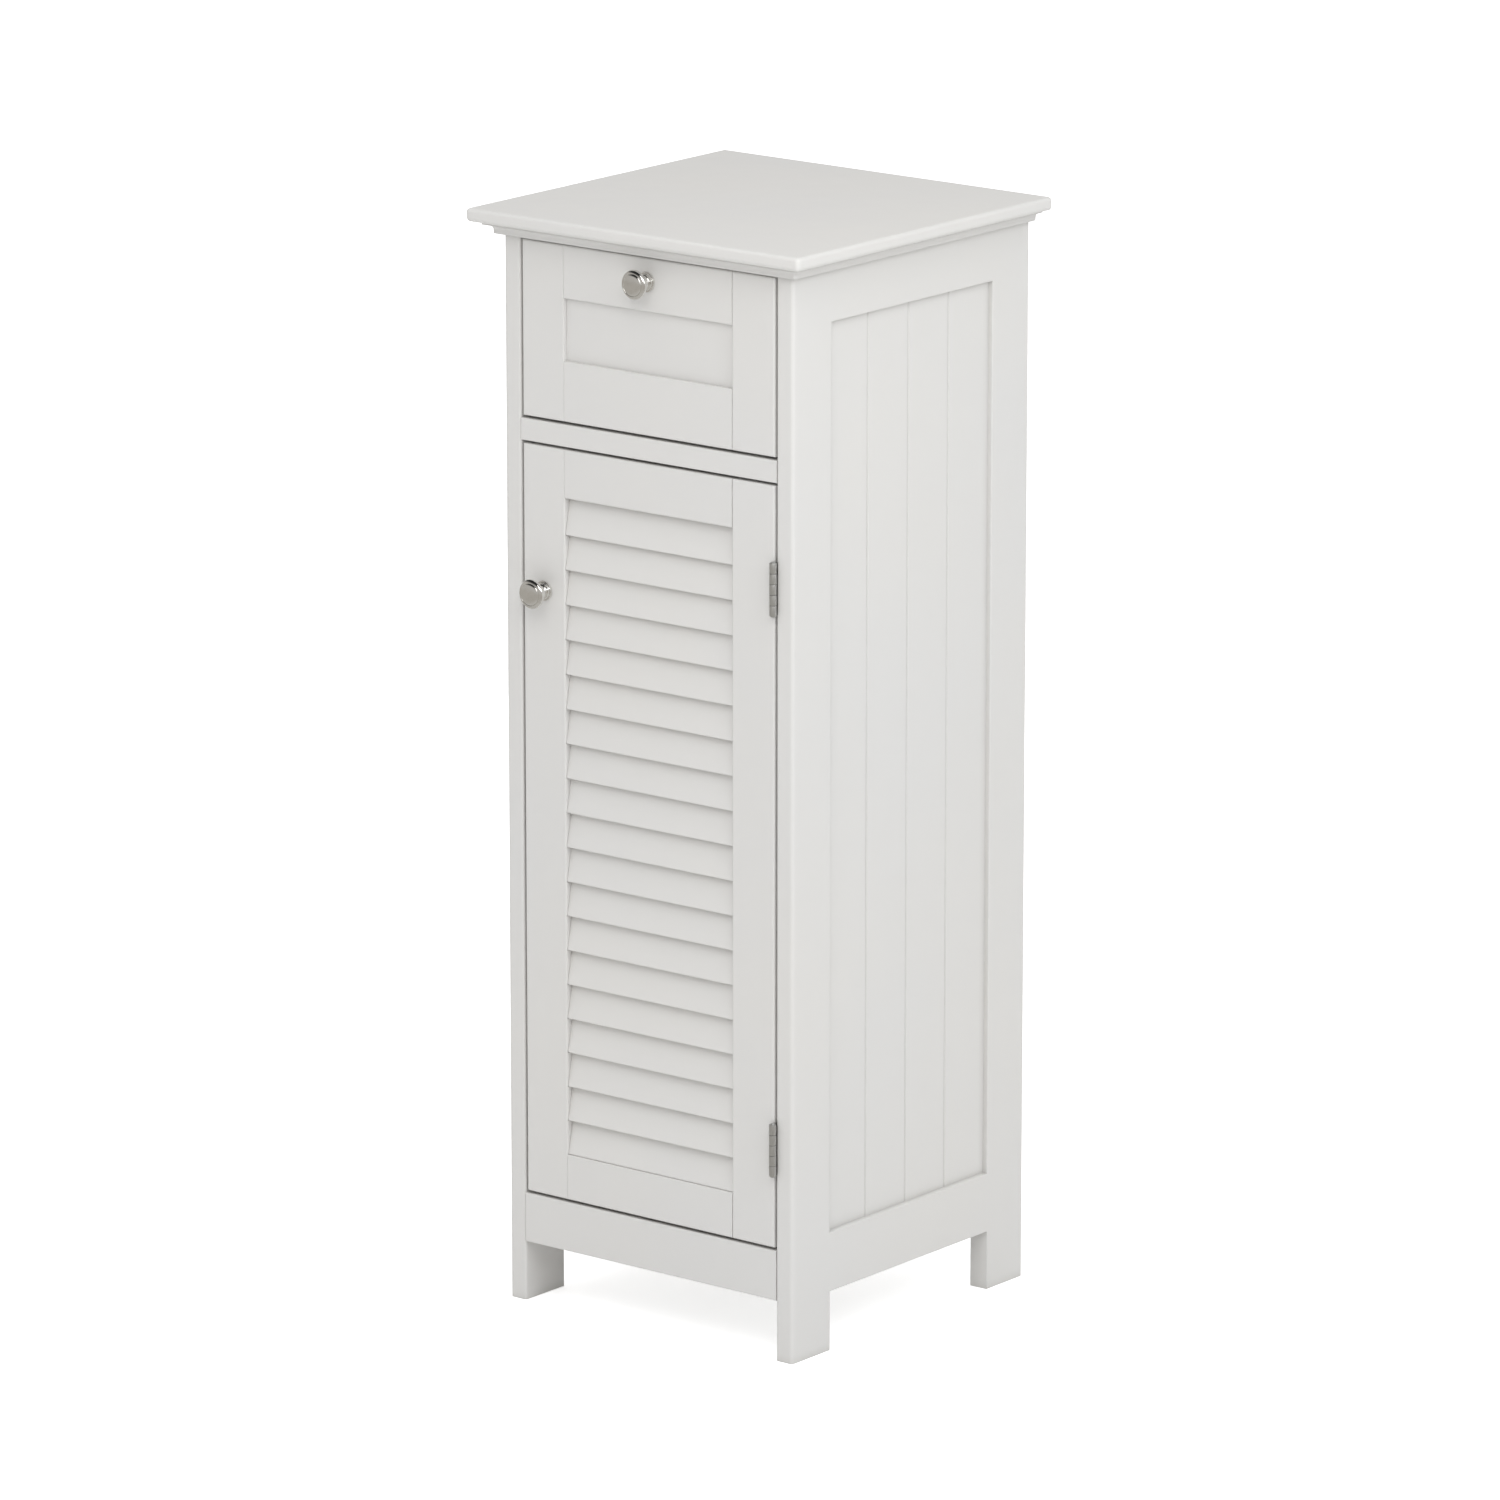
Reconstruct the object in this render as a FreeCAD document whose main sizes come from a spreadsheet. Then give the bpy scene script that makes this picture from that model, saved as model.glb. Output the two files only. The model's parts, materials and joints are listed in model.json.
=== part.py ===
import FreeCAD, Part
import math
import os
import Sketcher

# A narrow free-standing cabinet with one drawer over one louvred door, in millimetres.
# The origin is on the floor under the middle of the top board.
# +Z is up, -Y is the front, and the door's hinges are on the +X side.

document = FreeCAD.newDocument("LouvredCabinet")
tiny = 0.01

# ---------------------------------------------------------------- driving sizes

carcass_sizes = {
    "carcass_height": 850,
    "body_width": 282,
    "body_depth": 292,
    "side_thickness": 16,
    "board_thickness": 16,
    "divider_thickness": 17.5,
    "back_thickness": 3,
    "back_inset": 10,
    "back_tongue": 5,
    "groove_clearance": 0.1,
    "board_edge_radius": 1,
}

top_sizes = {
    "side_overhang": 21,
    "front_overhang": 21,
    "back_overhang": 1,
    "slab_thickness": 10.5,
    "slab_corner_radius": 3.5,
    "slab_upper_radius": 3,
    "slab_lower_radius": 3.5,
    "strip_setback": 8.5,
    "strip_height": 2.5,
    "cove_setback": 15,
    "cove_height": 7,
    "cove_radius": 5,
    "moulding_corner_radius": 2,
}

side_sizes = {
    "front_leg_depth": 46.5,
    "back_leg_depth": 45,
    "side_arch_height": 47.5,
    "side_bottom_rail": 47.5,
    "side_top_rail": 41,
    "recess_depth": 4.4,
    "recess_edge_radius": 0.8,
    "field_boards": 4,
    "vee_width": 2.6,
    "vee_depth": 1.3,
    "post_outer_radius": 3.2,
    "post_inner_radius": 2,
}

front_sizes = {
    "front_arch_height": 48,
    "apron_height": 40,
    "reveal": 2.2,
    "side_reveal": 2,
    "front_thickness": 16,
    "front_edge_radius": 1.5,
    "arris_radius": 1.2,
    "stile_width": 41,
}

drawer_sizes = {
    "drawer_front_height": 137.5,
    "drawer_top_rail": 41.5,
    "drawer_bottom_rail": 47,
    "panel_setback": 4,
    "panel_thickness": 6,
    "panel_tongue": 5,
    "box_side_gap": 2.5,
    "box_side_thickness": 12,
    "box_rise": 12,
    "box_height": 95,
    "box_back_gap": 28,
    "box_bottom_rise": 8,
    "box_bottom_thickness": 3,
    "box_bottom_tongue": 4,
    "runner_rise": 43,
    "runner_height": 9,
    "runner_front_gap": 5,
    "runner_back_gap": 5,
    "runner_engagement": 6,
    "runner_clearance": 0.3,
}

door_sizes = {
    "door_top_rail": 38,
    "door_bottom_rail": 36.5,
    "louvre_count": 19,
    "louvre_top_gap": 1.6,
    "slat_thickness": 4.5,
    "slat_tilt": 11,
    "slat_overlap": 4.5,
    "slat_setback": 1,
    "slat_housing": 3,
    "slat_edge_radius": 0.9,
}

knob_sizes = {
    "door_knob_height": 575,
    "drawer_knob_drop": 18.3,
    "knob_radius": 11.6,
    "knob_projection": 19.6,
    "knob_base_radius": 8,
    "knob_base_thickness": 1.7,
    "knob_ring_radius": 6.6,
    "knob_ring_thickness": 1.5,
    "knob_neck_radius": 4.3,
    "knob_neck_start": 5,
    "knob_neck_end": 7,
    "knob_rim_start": 14.4,
    "knob_rim_width": 1.4,
    "knob_face_radius": 9.2,
    "knob_face_start": 17.6,
    "knob_flare_bend": 0.72,
    "knob_neck_bend": 0.75,
    "knob_rim_bend": 0.9,
    "knob_screw_radius": 2,
    "knob_screw_reach": 8,
    "knob_screw_head_radius": 4,
    "knob_screw_head_height": 2.2,
}

hinge_sizes = {
    "hinge_height": 41,
    "hinge_offset": 79,
    "hinge_leaf_width": 17,
    "hinge_leaf_thickness": 0.9,
    "hinge_knuckle_radius": 2.8,
    "hinge_proud": 3,
    "hinge_knuckles": 5,
    "hinge_knuckle_gap": 0.2,
    "hinge_notch": 0.6,
    "hinge_pin_radius": 1.3,
    "hinge_pin_clearance": 0.06,
    "hinge_tip_radius": 2.2,
    "hinge_tip_height": 1.2,
    "hinge_screw_spread": 12,
    "hinge_screw_inset": 5.5,
}

fitting_sizes = {
    "bore_clearance": 0.1,
    "bore_overrun": 0.5,
    "cam_front_inset": 60,
    "cam_back_inset": 50,
    "cam_reach": 24,
    "side_skin": 1,
    "cam_bolt_radius": 3,
    "cam_disc_radius": 7.5,
    "cam_disc_skin": 3.5,
    "dowel_offset": 32,
    "dowel_radius": 4,
    "dowel_length": 30,
    "apron_cam_drop": 16,
    "apron_dowel_rise": 8,
    "box_dowel_radius": 3,
    "box_dowel_shallow": 8,
    "box_dowel_deep": 18,
    "box_dowel_inset": 22,
    "screw_head_radius": 2.5,
    "screw_radius": 1.4,
    "screw_length": 12,
    "long_screw_length": 17,
    "runner_screw_inset": 20,
    "catch_width": 34,
    "catch_depth": 14,
    "catch_height": 12,
    "catch_gap": 0.3,
    "catch_screw_spread": 11,
    "strike_width": 26,
    "strike_height": 12,
    "strike_thickness": 1,
    "strike_drop": 2,
}

shelf_sizes = {
    "shelf_thickness": 15,
    "shelf_height": 382,
    "shelf_side_gap": 1,
    "shelf_setback": 10,
    "shelf_back_gap": 1,
    "shelf_seat": 0.05,
    "shelf_pin_inset": 35,
    "shelf_pin_radius": 2.5,
    "shelf_pin_depth": 8,
    "shelf_pin_length": 9,
    "shelf_pin_collar_radius": 4,
    "shelf_pin_collar": 0.8,
    "shelf_hole_pitch": 32,
    "shelf_holes": 5,
}

# ---------------------------------------------------------------- places worked out from the sizes

places = {
    "top_width": "=Sizes.body_width + 2 * Sizes.side_overhang",
    "top_depth": "=Sizes.body_depth + Sizes.front_overhang + Sizes.back_overhang",
    "strip_bottom": "=Sizes.carcass_height + Sizes.cove_height",
    "slab_bottom": "=Sizes.carcass_height + Sizes.cove_height + Sizes.strip_height",
    "overall_height": "=slab_bottom + Sizes.slab_thickness",
    "front_plane": "=Sizes.front_overhang - top_depth / 2",
    "back_plane": "=front_plane + Sizes.body_depth",
    "top_front": "=-top_depth / 2",
    "outer_half": "=Sizes.body_width / 2",
    "inner_half": "=outer_half - Sizes.side_thickness",
    "side_middle": "=outer_half - Sizes.side_thickness / 2",
    "recess_bottom": "=Sizes.side_arch_height + Sizes.side_bottom_rail",
    "recess_top": "=Sizes.carcass_height - Sizes.side_top_rail",
    "recess_front": "=front_plane + Sizes.front_leg_depth",
    "recess_back": "=back_plane - Sizes.back_leg_depth",
    "recess_floor": "=outer_half - Sizes.recess_depth",
    "field_pitch": "=(recess_back - recess_front) / Sizes.field_boards",
    "apron_top": "=Sizes.front_arch_height + Sizes.apron_height",
    "apron_back": "=front_plane + Sizes.board_thickness",
    "apron_middle": "=front_plane + Sizes.board_thickness / 2",
    "floor_bottom": "=apron_top - Sizes.board_thickness",
    "floor_middle": "=apron_top - Sizes.board_thickness / 2",
    "back_panel_front": "=back_plane - Sizes.back_inset - Sizes.back_thickness",
    "drawer_top": "=Sizes.carcass_height - Sizes.reveal",
    "drawer_bottom": "=drawer_top - Sizes.drawer_front_height",
    "divider_top": "=drawer_bottom - Sizes.reveal",
    "divider_bottom": "=divider_top - Sizes.divider_thickness",
    "divider_middle": "=divider_top - Sizes.divider_thickness / 2",
    "door_top": "=divider_bottom - Sizes.reveal",
    "door_bottom": "=apron_top + Sizes.reveal",
    "front_half": "=inner_half - Sizes.side_reveal",
    "stile_inner": "=front_half - Sizes.stile_width",
    "stile_middle": "=front_half - Sizes.stile_width / 2",
    "fronts_rear": "=front_plane + Sizes.front_thickness",
    "drawer_open_top": "=drawer_top - Sizes.drawer_top_rail",
    "drawer_open_bottom": "=drawer_bottom + Sizes.drawer_bottom_rail",
    "panel_front": "=front_plane + Sizes.panel_setback",
    "panel_back": "=panel_front + Sizes.panel_thickness",
    "box_outer": "=inner_half - Sizes.box_side_gap",
    "box_inner": "=box_outer - Sizes.box_side_thickness",
    "box_bottom": "=drawer_bottom + Sizes.box_rise",
    "box_top": "=box_bottom + Sizes.box_height",
    "box_back": "=back_panel_front - Sizes.box_back_gap",
    "box_floor": "=box_bottom + Sizes.box_bottom_rise",
    "box_floor_top": "=box_floor + Sizes.box_bottom_thickness",
    "runner_bottom": "=box_bottom + Sizes.runner_rise",
    "runner_top": "=runner_bottom + Sizes.runner_height",
    "runner_front": "=fronts_rear + Sizes.runner_front_gap",
    "runner_back": "=box_back - Sizes.runner_back_gap",
    "runner_inner": "=box_outer - Sizes.runner_engagement",
    "louvre_bottom": "=door_bottom + Sizes.door_bottom_rail",
    "louvre_top": "=door_top - Sizes.door_top_rail",
    "louvre_pitch": "=(louvre_top - louvre_bottom - Sizes.louvre_top_gap) / Sizes.louvre_count",
    "slat_front": "=front_plane + Sizes.slat_setback",
    "slat_rise": "=louvre_pitch + Sizes.slat_overlap",
    "slat_lean": "=tan(Sizes.slat_tilt)",
    "slat_width": "=Sizes.slat_thickness / cos(Sizes.slat_tilt)",
    "slat_half": "=stile_inner + Sizes.slat_housing",
    "knob_drawer_height": "=drawer_top - Sizes.drawer_knob_drop",
    "hinge_x": "=inner_half - Sizes.side_reveal / 2",
    "hinge_y": "=front_plane - Sizes.hinge_proud",
    "hinge_leaf_front": "=hinge_y + Sizes.hinge_knuckle_radius + Sizes.hinge_notch",
    "hinge_leaf_back": "=hinge_y + Sizes.hinge_leaf_width",
    "hinge_screw_y": "=hinge_leaf_back - Sizes.hinge_screw_inset",
    "hinge_upper": "=door_top - Sizes.hinge_offset - Sizes.hinge_height / 2",
    "hinge_lower": "=door_bottom + Sizes.hinge_offset - Sizes.hinge_height / 2",
    "knuckle_pitch": "=Sizes.hinge_height / Sizes.hinge_knuckles",
    "cam_front": "=front_plane + Sizes.cam_front_inset",
    "cam_back": "=back_panel_front - Sizes.cam_back_inset",
    "dowel_front": "=cam_front + Sizes.dowel_offset",
    "dowel_back": "=cam_back - Sizes.dowel_offset",
    "apron_cam": "=apron_top - Sizes.apron_cam_drop",
    "apron_dowel": "=Sizes.front_arch_height + Sizes.apron_dowel_rise",
    "anchor_depth": "=Sizes.side_thickness - Sizes.recess_depth - Sizes.vee_depth - Sizes.side_skin",
    "anchor_bore": "=anchor_depth + Sizes.bore_overrun",
    "dowel_deep": "=Sizes.dowel_length - anchor_depth",
    "disc_depth": "=Sizes.board_thickness - Sizes.cam_disc_skin",
    "side_disc_depth": "=Sizes.side_thickness - Sizes.cam_disc_skin",
    "cam_bore": "=Sizes.cam_bolt_radius + Sizes.bore_clearance",
    "dowel_bore": "=Sizes.dowel_radius + Sizes.bore_clearance",
    "box_dowel_bore": "=Sizes.box_dowel_radius + Sizes.bore_clearance",
    "box_side_middle": "=box_outer - Sizes.box_side_thickness / 2",
    "box_back_middle": "=box_back - Sizes.box_side_thickness / 2",
    "box_dowel_low": "=box_bottom + Sizes.box_dowel_inset",
    "box_dowel_high": "=box_top - Sizes.box_dowel_inset",
    "screw_bore": "=Sizes.screw_radius + Sizes.bore_clearance",
    "hinge_bore": "=Sizes.screw_length - Sizes.hinge_leaf_thickness + Sizes.bore_overrun",
    "runner_middle": "=runner_bottom + Sizes.runner_height / 2",
    "runner_screw_front": "=runner_front + Sizes.runner_screw_inset",
    "runner_screw_back": "=runner_back - Sizes.runner_screw_inset",
    "strike_top": "=door_top - Sizes.strike_drop",
    "strike_back": "=fronts_rear + Sizes.strike_thickness",
    "catch_front": "=strike_back + Sizes.catch_gap",
    "catch_middle": "=catch_front + Sizes.catch_depth / 2",
    "catch_bottom": "=divider_bottom - Sizes.catch_height",
    "shelf_top": "=Sizes.shelf_height + Sizes.shelf_thickness",
    "shelf_front": "=fronts_rear + Sizes.shelf_setback",
    "shelf_back": "=back_panel_front - Sizes.shelf_back_gap",
    "shelf_pin_z": "=Sizes.shelf_height - Sizes.shelf_pin_radius - Sizes.shelf_seat",
    "shelf_pin_front": "=shelf_front + Sizes.shelf_pin_inset",
    "shelf_pin_back": "=shelf_back - Sizes.shelf_pin_inset",
}


def add_sheet(name, groups):
    sheet = document.addObject("Spreadsheet::Sheet", name)
    cells = [cell for group in groups for cell in group.items()]
    for row, (alias, content) in enumerate(cells, start=1):
        sheet.set(f"A{row}", alias)
        sheet.set(f"B{row}", str(content))
        sheet.setAlias(f"B{row}", alias)
    return sheet


sizes_sheet = add_sheet("Sizes", [carcass_sizes, top_sizes, side_sizes, front_sizes, drawer_sizes,
                                  door_sizes, knob_sizes, hinge_sizes, fitting_sizes, shelf_sizes])
places_sheet = add_sheet("Places", [places])
document.recompute()
nodes = []

# ---------------------------------------------------------------- sketch and feature helpers


def number(rule):
    return float(sizes_sheet.evalExpression(rule))


def minus(rule):
    return f"-({rule})"


def new_body(label):
    body = document.addObject("PartDesign::Body", "Body")
    body.Label = label
    nodes.append(body)
    return body


def sketch_on(body, role, height):
    # The XZ plane faces the front, so its offset runs against Y.
    sketch = body.newObject("Sketcher::SketchObject", "Sketch")
    plane = next(item for item in body.Origin.OriginFeatures if item.Role == role)
    sketch.AttachmentSupport = [(plane, "")]
    sketch.MapMode = "FlatFace"
    offset = minus(height) if role == "XZ_Plane" else height
    sketch.setExpression("AttachmentOffset.Base.z", offset)
    return sketch


def pin_point(sketch, geometry, point, corner):
    for kind, rule in zip(("DistanceX", "DistanceY"), corner):
        constraint = Sketcher.Constraint(kind, -1, 1, geometry, point, number(rule))
        index = sketch.addConstraint(constraint)
        sketch.setExpression(f"Constraints[{index}]", rule)


def arc_between(start, end, radius, side):
    # Side 1 bulges to the left of the way from start to end, -1 to the right.
    chord = end - start
    leftward = FreeCAD.Vector(-chord.y, chord.x, 0).normalize()
    centre = (start + end) / 2 - leftward * side * math.sqrt(radius ** 2 - (chord.Length / 2) ** 2)
    first, last = (end, start) if side > 0 else (start, end)
    first_angle, last_angle = (math.atan2(point.y - centre.y, point.x - centre.x) for point in (first, last))
    if last_angle < first_angle:
        last_angle += 2 * math.pi
    return Part.ArcOfCircle(Part.Circle(centre, FreeCAD.Vector(0, 0, 1), radius), first_angle, last_angle)


def bent(corners, index, bend):
    # The radius of an arc whose chord runs from one corner to the next, as a multiple of the chord.
    (across, up), (next_across, next_up) = corners[index:index + 2]
    return f"{bend} * sqrt(pow({next_across} - ({across}); 2) + pow({next_up} - ({up}); 2))"


def outline(sketch, corners, arcs=None):
    # Lines join the corners in order. An entry in arcs gives the radius and side of the stretch
    # after that corner.
    arcs = arcs or {}
    points = [FreeCAD.Vector(number(across), number(up), 0) for across, up in corners]
    stretches = []
    for index, start in enumerate(points):
        end = points[(index + 1) % len(points)]
        if index in arcs:
            radius, side = arcs[index]
            curve = arc_between(start, end, number(radius), side)
        else:
            curve = Part.LineSegment(start, end)
        geometry = sketch.addGeometry(curve, False)
        forward = (sketch.Geometry[geometry].StartPoint - start).Length < tiny
        stretches.append((geometry, 1, 2) if forward else (geometry, 2, 1))
    for index, (geometry, first, last) in enumerate(stretches):
        following, following_first, _ = stretches[(index + 1) % len(points)]
        sketch.addConstraint(Sketcher.Constraint("Coincident", geometry, last, following, following_first))
        pin_point(sketch, geometry, first, corners[index])
        if index in arcs:
            radius = arcs[index][0]
            constraint = sketch.addConstraint(Sketcher.Constraint("Radius", geometry, number(radius)))
            sketch.setExpression(f"Constraints[{constraint}]", radius)


def rectangle(sketch, low, high):
    outline(sketch, [(low[0], low[1]), (high[0], low[1]), (high[0], high[1]), (low[0], high[1])])


def circles(sketch, centres, radius):
    for across, up in centres:
        middle = FreeCAD.Vector(number(across), number(up), 0)
        circle = Part.Circle(middle, FreeCAD.Vector(0, 0, 1), number(radius))
        geometry = sketch.addGeometry(circle, False)
        pin_point(sketch, geometry, 3, (across, up))
        constraint = sketch.addConstraint(Sketcher.Constraint("Radius", geometry, number(radius)))
        sketch.setExpression(f"Constraints[{constraint}]", radius)


def pad(body, sketch, length, backwards=False):
    feature = body.newObject("PartDesign::Pad", "Pad")
    feature.Profile = sketch
    feature.Reversed = backwards
    feature.setExpression("Length", length)
    document.recompute()
    return feature


def pocket(body, sketch, depth, backwards=False):
    # Without backwards it cuts away from the sketch's own facing direction.
    before = body.Shape.Volume
    feature = body.newObject("PartDesign::Pocket", "Pocket")
    feature.Profile = sketch
    feature.Reversed = backwards
    feature.setExpression("Length", depth)
    document.recompute()
    if body.Shape.Volume >= before:
        raise RuntimeError(f"a pocket of {body.Label} cuts nothing")
    return feature


def bores(body, role, height, centres, radius, depth, backwards=False):
    sketch = sketch_on(body, role, height)
    circles(sketch, centres, radius)
    return pocket(body, sketch, depth, backwards)


def primitive(body, kind, rules, corner):
    feature = body.newObject(f"PartDesign::{kind}", kind)
    for path, rule in rules.items():
        feature.setExpression(path, rule)
    for axis, rule in zip("xyz", corner):
        feature.setExpression(f"Placement.Base.{axis}", rule)
    return feature


def block(body, kind, low, high):
    spans = [f"{top} - ({bottom})" for bottom, top in zip(low, high)]
    rules = dict(zip(("Length", "Width", "Height"), spans))
    feature = primitive(body, kind, rules, low)
    document.recompute()
    return feature


def edges_between(shape, low, high):
    box = FreeCAD.BoundBox(*[number(rule) for rule in low], *[number(rule) for rule in high])
    box.enlarge(tiny)
    return [f"Edge{index}" for index, edge in enumerate(shape.Edges, start=1) if box.isInside(edge.BoundBox)]


def round_over(body, radius, spans):
    # Rounds each edge of the body that lies inside one of the boxes in spans.
    base = body.Tip
    names = sorted({name for low, high in spans for name in edges_between(base.Shape, low, high)})
    if not names:
        raise RuntimeError(f"no edge of {body.Label} to round")
    feature = body.newObject("PartDesign::Fillet", "Fillet")
    feature.Base = (base, names)
    feature.setExpression("Radius", radius)
    document.recompute()
    return feature


def board(label, low, high):
    body = new_body(label)
    sketch = sketch_on(body, "XY_Plane", low[2])
    rectangle(sketch, low[:2], high[:2])
    pad(body, sketch, f"{high[2]} - ({low[2]})")
    return body


def level_edges(half, y, heights):
    # The edges from side to side at one depth.
    return [((minus(half), y, height), (half, y, height)) for height in heights]


def ordered(side, inner, outer):
    # Low X first, for a span that lies on the given side.
    return (inner, outer) if side > 0 else (outer, inner)


# ---------------------------------------------------------------- round fittings

directions = {
    "+x": FreeCAD.Vector(1, 0, 0),
    "-x": FreeCAD.Vector(-1, 0, 0),
    "+y": FreeCAD.Vector(0, 1, 0),
    "-y": FreeCAD.Vector(0, -1, 0),
    "+z": FreeCAD.Vector(0, 0, 1),
    "-z": FreeCAD.Vector(0, 0, -1),
}


def along(start, way, distance):
    moved = list(start)
    axis = "xyz".index(way[1])
    moved[axis] = f"{start[axis]} {way[0]} ({distance})"
    return moved


def turned(kind, start, way, rules):
    item = document.addObject(kind, "Fitting")
    turn = FreeCAD.Rotation(directions["+z"], directions[way])
    item.Placement = FreeCAD.Placement(FreeCAD.Vector(), turn)
    for path, rule in rules.items():
        item.setExpression(path, rule)
    for axis, rule in zip("xyz", start):
        item.setExpression(f"Placement.Base.{axis}", rule)
    return item


def peg(start, way, radius, length):
    return turned("Part::Cylinder", start, way, {"Radius": radius, "Height": length})


def fused(first, second):
    item = document.addObject("Part::Fuse", "Fused")
    item.Base = first
    item.Tool = second
    return item


def drilled(solid, bore):
    item = document.addObject("Part::Cut", "Drilled")
    item.Base = solid
    item.Tool = bore
    return item


def grouped(label, items):
    group = document.addObject("Part::Compound", "Group")
    group.Links = items
    group.Label = label
    nodes.append(group)
    return group


def countersunk_screw(start, way, length="Sizes.screw_length"):
    # The head is as deep as a hinge leaf is thick, so that it lies flush in the leaf.
    head_depth = "Sizes.hinge_leaf_thickness"
    head = turned("Part::Cone", start, way, {"Radius1": "Sizes.screw_head_radius",
                                             "Radius2": "Sizes.screw_radius", "Height": head_depth})
    shank_start = along(start, way, head_depth)
    shank = peg(shank_start, way, "Sizes.screw_radius", f"{length} - {head_depth}")
    return fused(head, shank)


def screw_hole(body, start, way, depth):
    # A countersunk hole through a fitting, with the screw's own clearance.
    turn = FreeCAD.Rotation(directions["+z"], directions[way])
    cone_rules = {"Radius1": "Sizes.screw_head_radius + Sizes.bore_clearance",
                  "Radius2": "Places.screw_bore", "Height": "Sizes.hinge_leaf_thickness"}
    shank_rules = {"Radius": "Places.screw_bore", "Height": depth}
    for kind, rules in (("SubtractiveCone", cone_rules), ("SubtractiveCylinder", shank_rules)):
        feature = body.newObject(f"PartDesign::{kind}", kind)
        feature.Placement = FreeCAD.Placement(FreeCAD.Vector(), turn)
        for path, rule in rules.items():
            feature.setExpression(path, rule)
        for axis, rule in zip("xyz", start):
            feature.setExpression(f"Placement.Base.{axis}", rule)
        document.recompute()


# ---------------------------------------------------------------- top board


def moulding_layer(body, setback, bottom, height, corner_radius):
    half = f"Places.top_width / 2 - {setback}"
    front = f"Places.top_front + {setback}"
    back = "Places.back_plane + Sizes.back_overhang"
    sketch = sketch_on(body, "XY_Plane", bottom)
    rectangle(sketch, (minus(half), front), (half, back))
    pad(body, sketch, height)
    corners = [((x, front, bottom), (x, front, f"{bottom} + {height}")) for x in (half, minus(half))]
    round_over(body, corner_radius, corners)


def make_top_panel():
    # A slab with a bullnose edge on a strip and a cove, on three sides. The back is cut flush.
    body = new_body("top_panel")
    moulding_layer(body, "0", "Places.slab_bottom", "Sizes.slab_thickness", "Sizes.slab_corner_radius")
    moulding_layer(body, "Sizes.strip_setback", "Places.strip_bottom", "Sizes.strip_height",
                   "Sizes.moulding_corner_radius")
    moulding_layer(body, "Sizes.cove_setback", "Sizes.carcass_height", "Sizes.cove_height",
                   "Sizes.moulding_corner_radius")
    half = "Places.top_width / 2"
    back = "Places.back_plane + Sizes.back_overhang"
    for radius, height in (("Sizes.slab_upper_radius", "Places.overall_height"),
                           ("Sizes.slab_lower_radius", "Places.slab_bottom")):
        corner = "Sizes.slab_corner_radius"
        left = ((minus(half), "Places.top_front", height), (f"-{half} + {corner}", back, height))
        right = ((f"{half} - {corner}", "Places.top_front", height), (half, back, height))
        front = ((minus(half), "Places.top_front", height), (half, f"Places.top_front + {corner}", height))
        round_over(body, radius, [left, right, front])
    cove_half = f"{half} - Sizes.cove_setback"
    cove_front = "Places.top_front + Sizes.cove_setback"
    low = (minus(cove_half), cove_front, "Places.strip_bottom")
    high = (cove_half, back, "Places.strip_bottom")
    round_over(body, "Sizes.cove_radius", [(low, high)])
    bolt_places = [(x, y) for x in ("Places.side_middle", "-Places.side_middle")
                   for y in ("Places.cam_front", "Places.cam_back")]
    bores(body, "XY_Plane", "Sizes.carcass_height", bolt_places, "Places.cam_bore",
          "Places.anchor_bore", backwards=True)
    return body


# ---------------------------------------------------------------- side panels

cam_ends = [("Places.cam_front", "Places.divider_middle"), ("Places.cam_back", "Places.divider_middle"),
              ("Places.cam_front", "Places.floor_middle"), ("Places.cam_back", "Places.floor_middle"),
              ("Places.apron_middle", "Places.apron_cam")]
dowel_ends = [("Places.dowel_front", "Places.divider_middle"), ("Places.dowel_back", "Places.divider_middle"),
              ("Places.dowel_front", "Places.floor_middle"), ("Places.dowel_back", "Places.floor_middle"),
              ("Places.apron_middle", "Places.apron_dowel")]
runner_screws = [("Places.runner_screw_front", "Places.runner_middle"),
                 ("Places.runner_screw_back", "Places.runner_middle")]
hinge_bottoms = {"upper": "Places.hinge_upper", "lower": "Places.hinge_lower"}


def hinge_screw_places(x, bottom):
    middle = f"{bottom} + Sizes.hinge_height / 2"
    return [(x, "Places.hinge_screw_y", f"{middle} {sign} Sizes.hinge_screw_spread") for sign in "-+"]


def hinge_screw_bores(body, face, into_wood):
    centres = [(y, z) for bottom in hinge_bottoms.values() for _, y, z in hinge_screw_places(face, bottom)]
    bores(body, "YZ_Plane", face, centres, "Places.screw_bore", "Places.hinge_bore", into_wood)


def shelf_hole_places():
    middle_hole = (int(number("Sizes.shelf_holes")) - 1) // 2
    steps = range(-middle_hole, int(number("Sizes.shelf_holes")) - middle_hole)
    return [(y, f"Places.shelf_pin_z + {step} * Sizes.shelf_hole_pitch")
            for y in ("Places.shelf_pin_front", "Places.shelf_pin_back") for step in steps]


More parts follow.
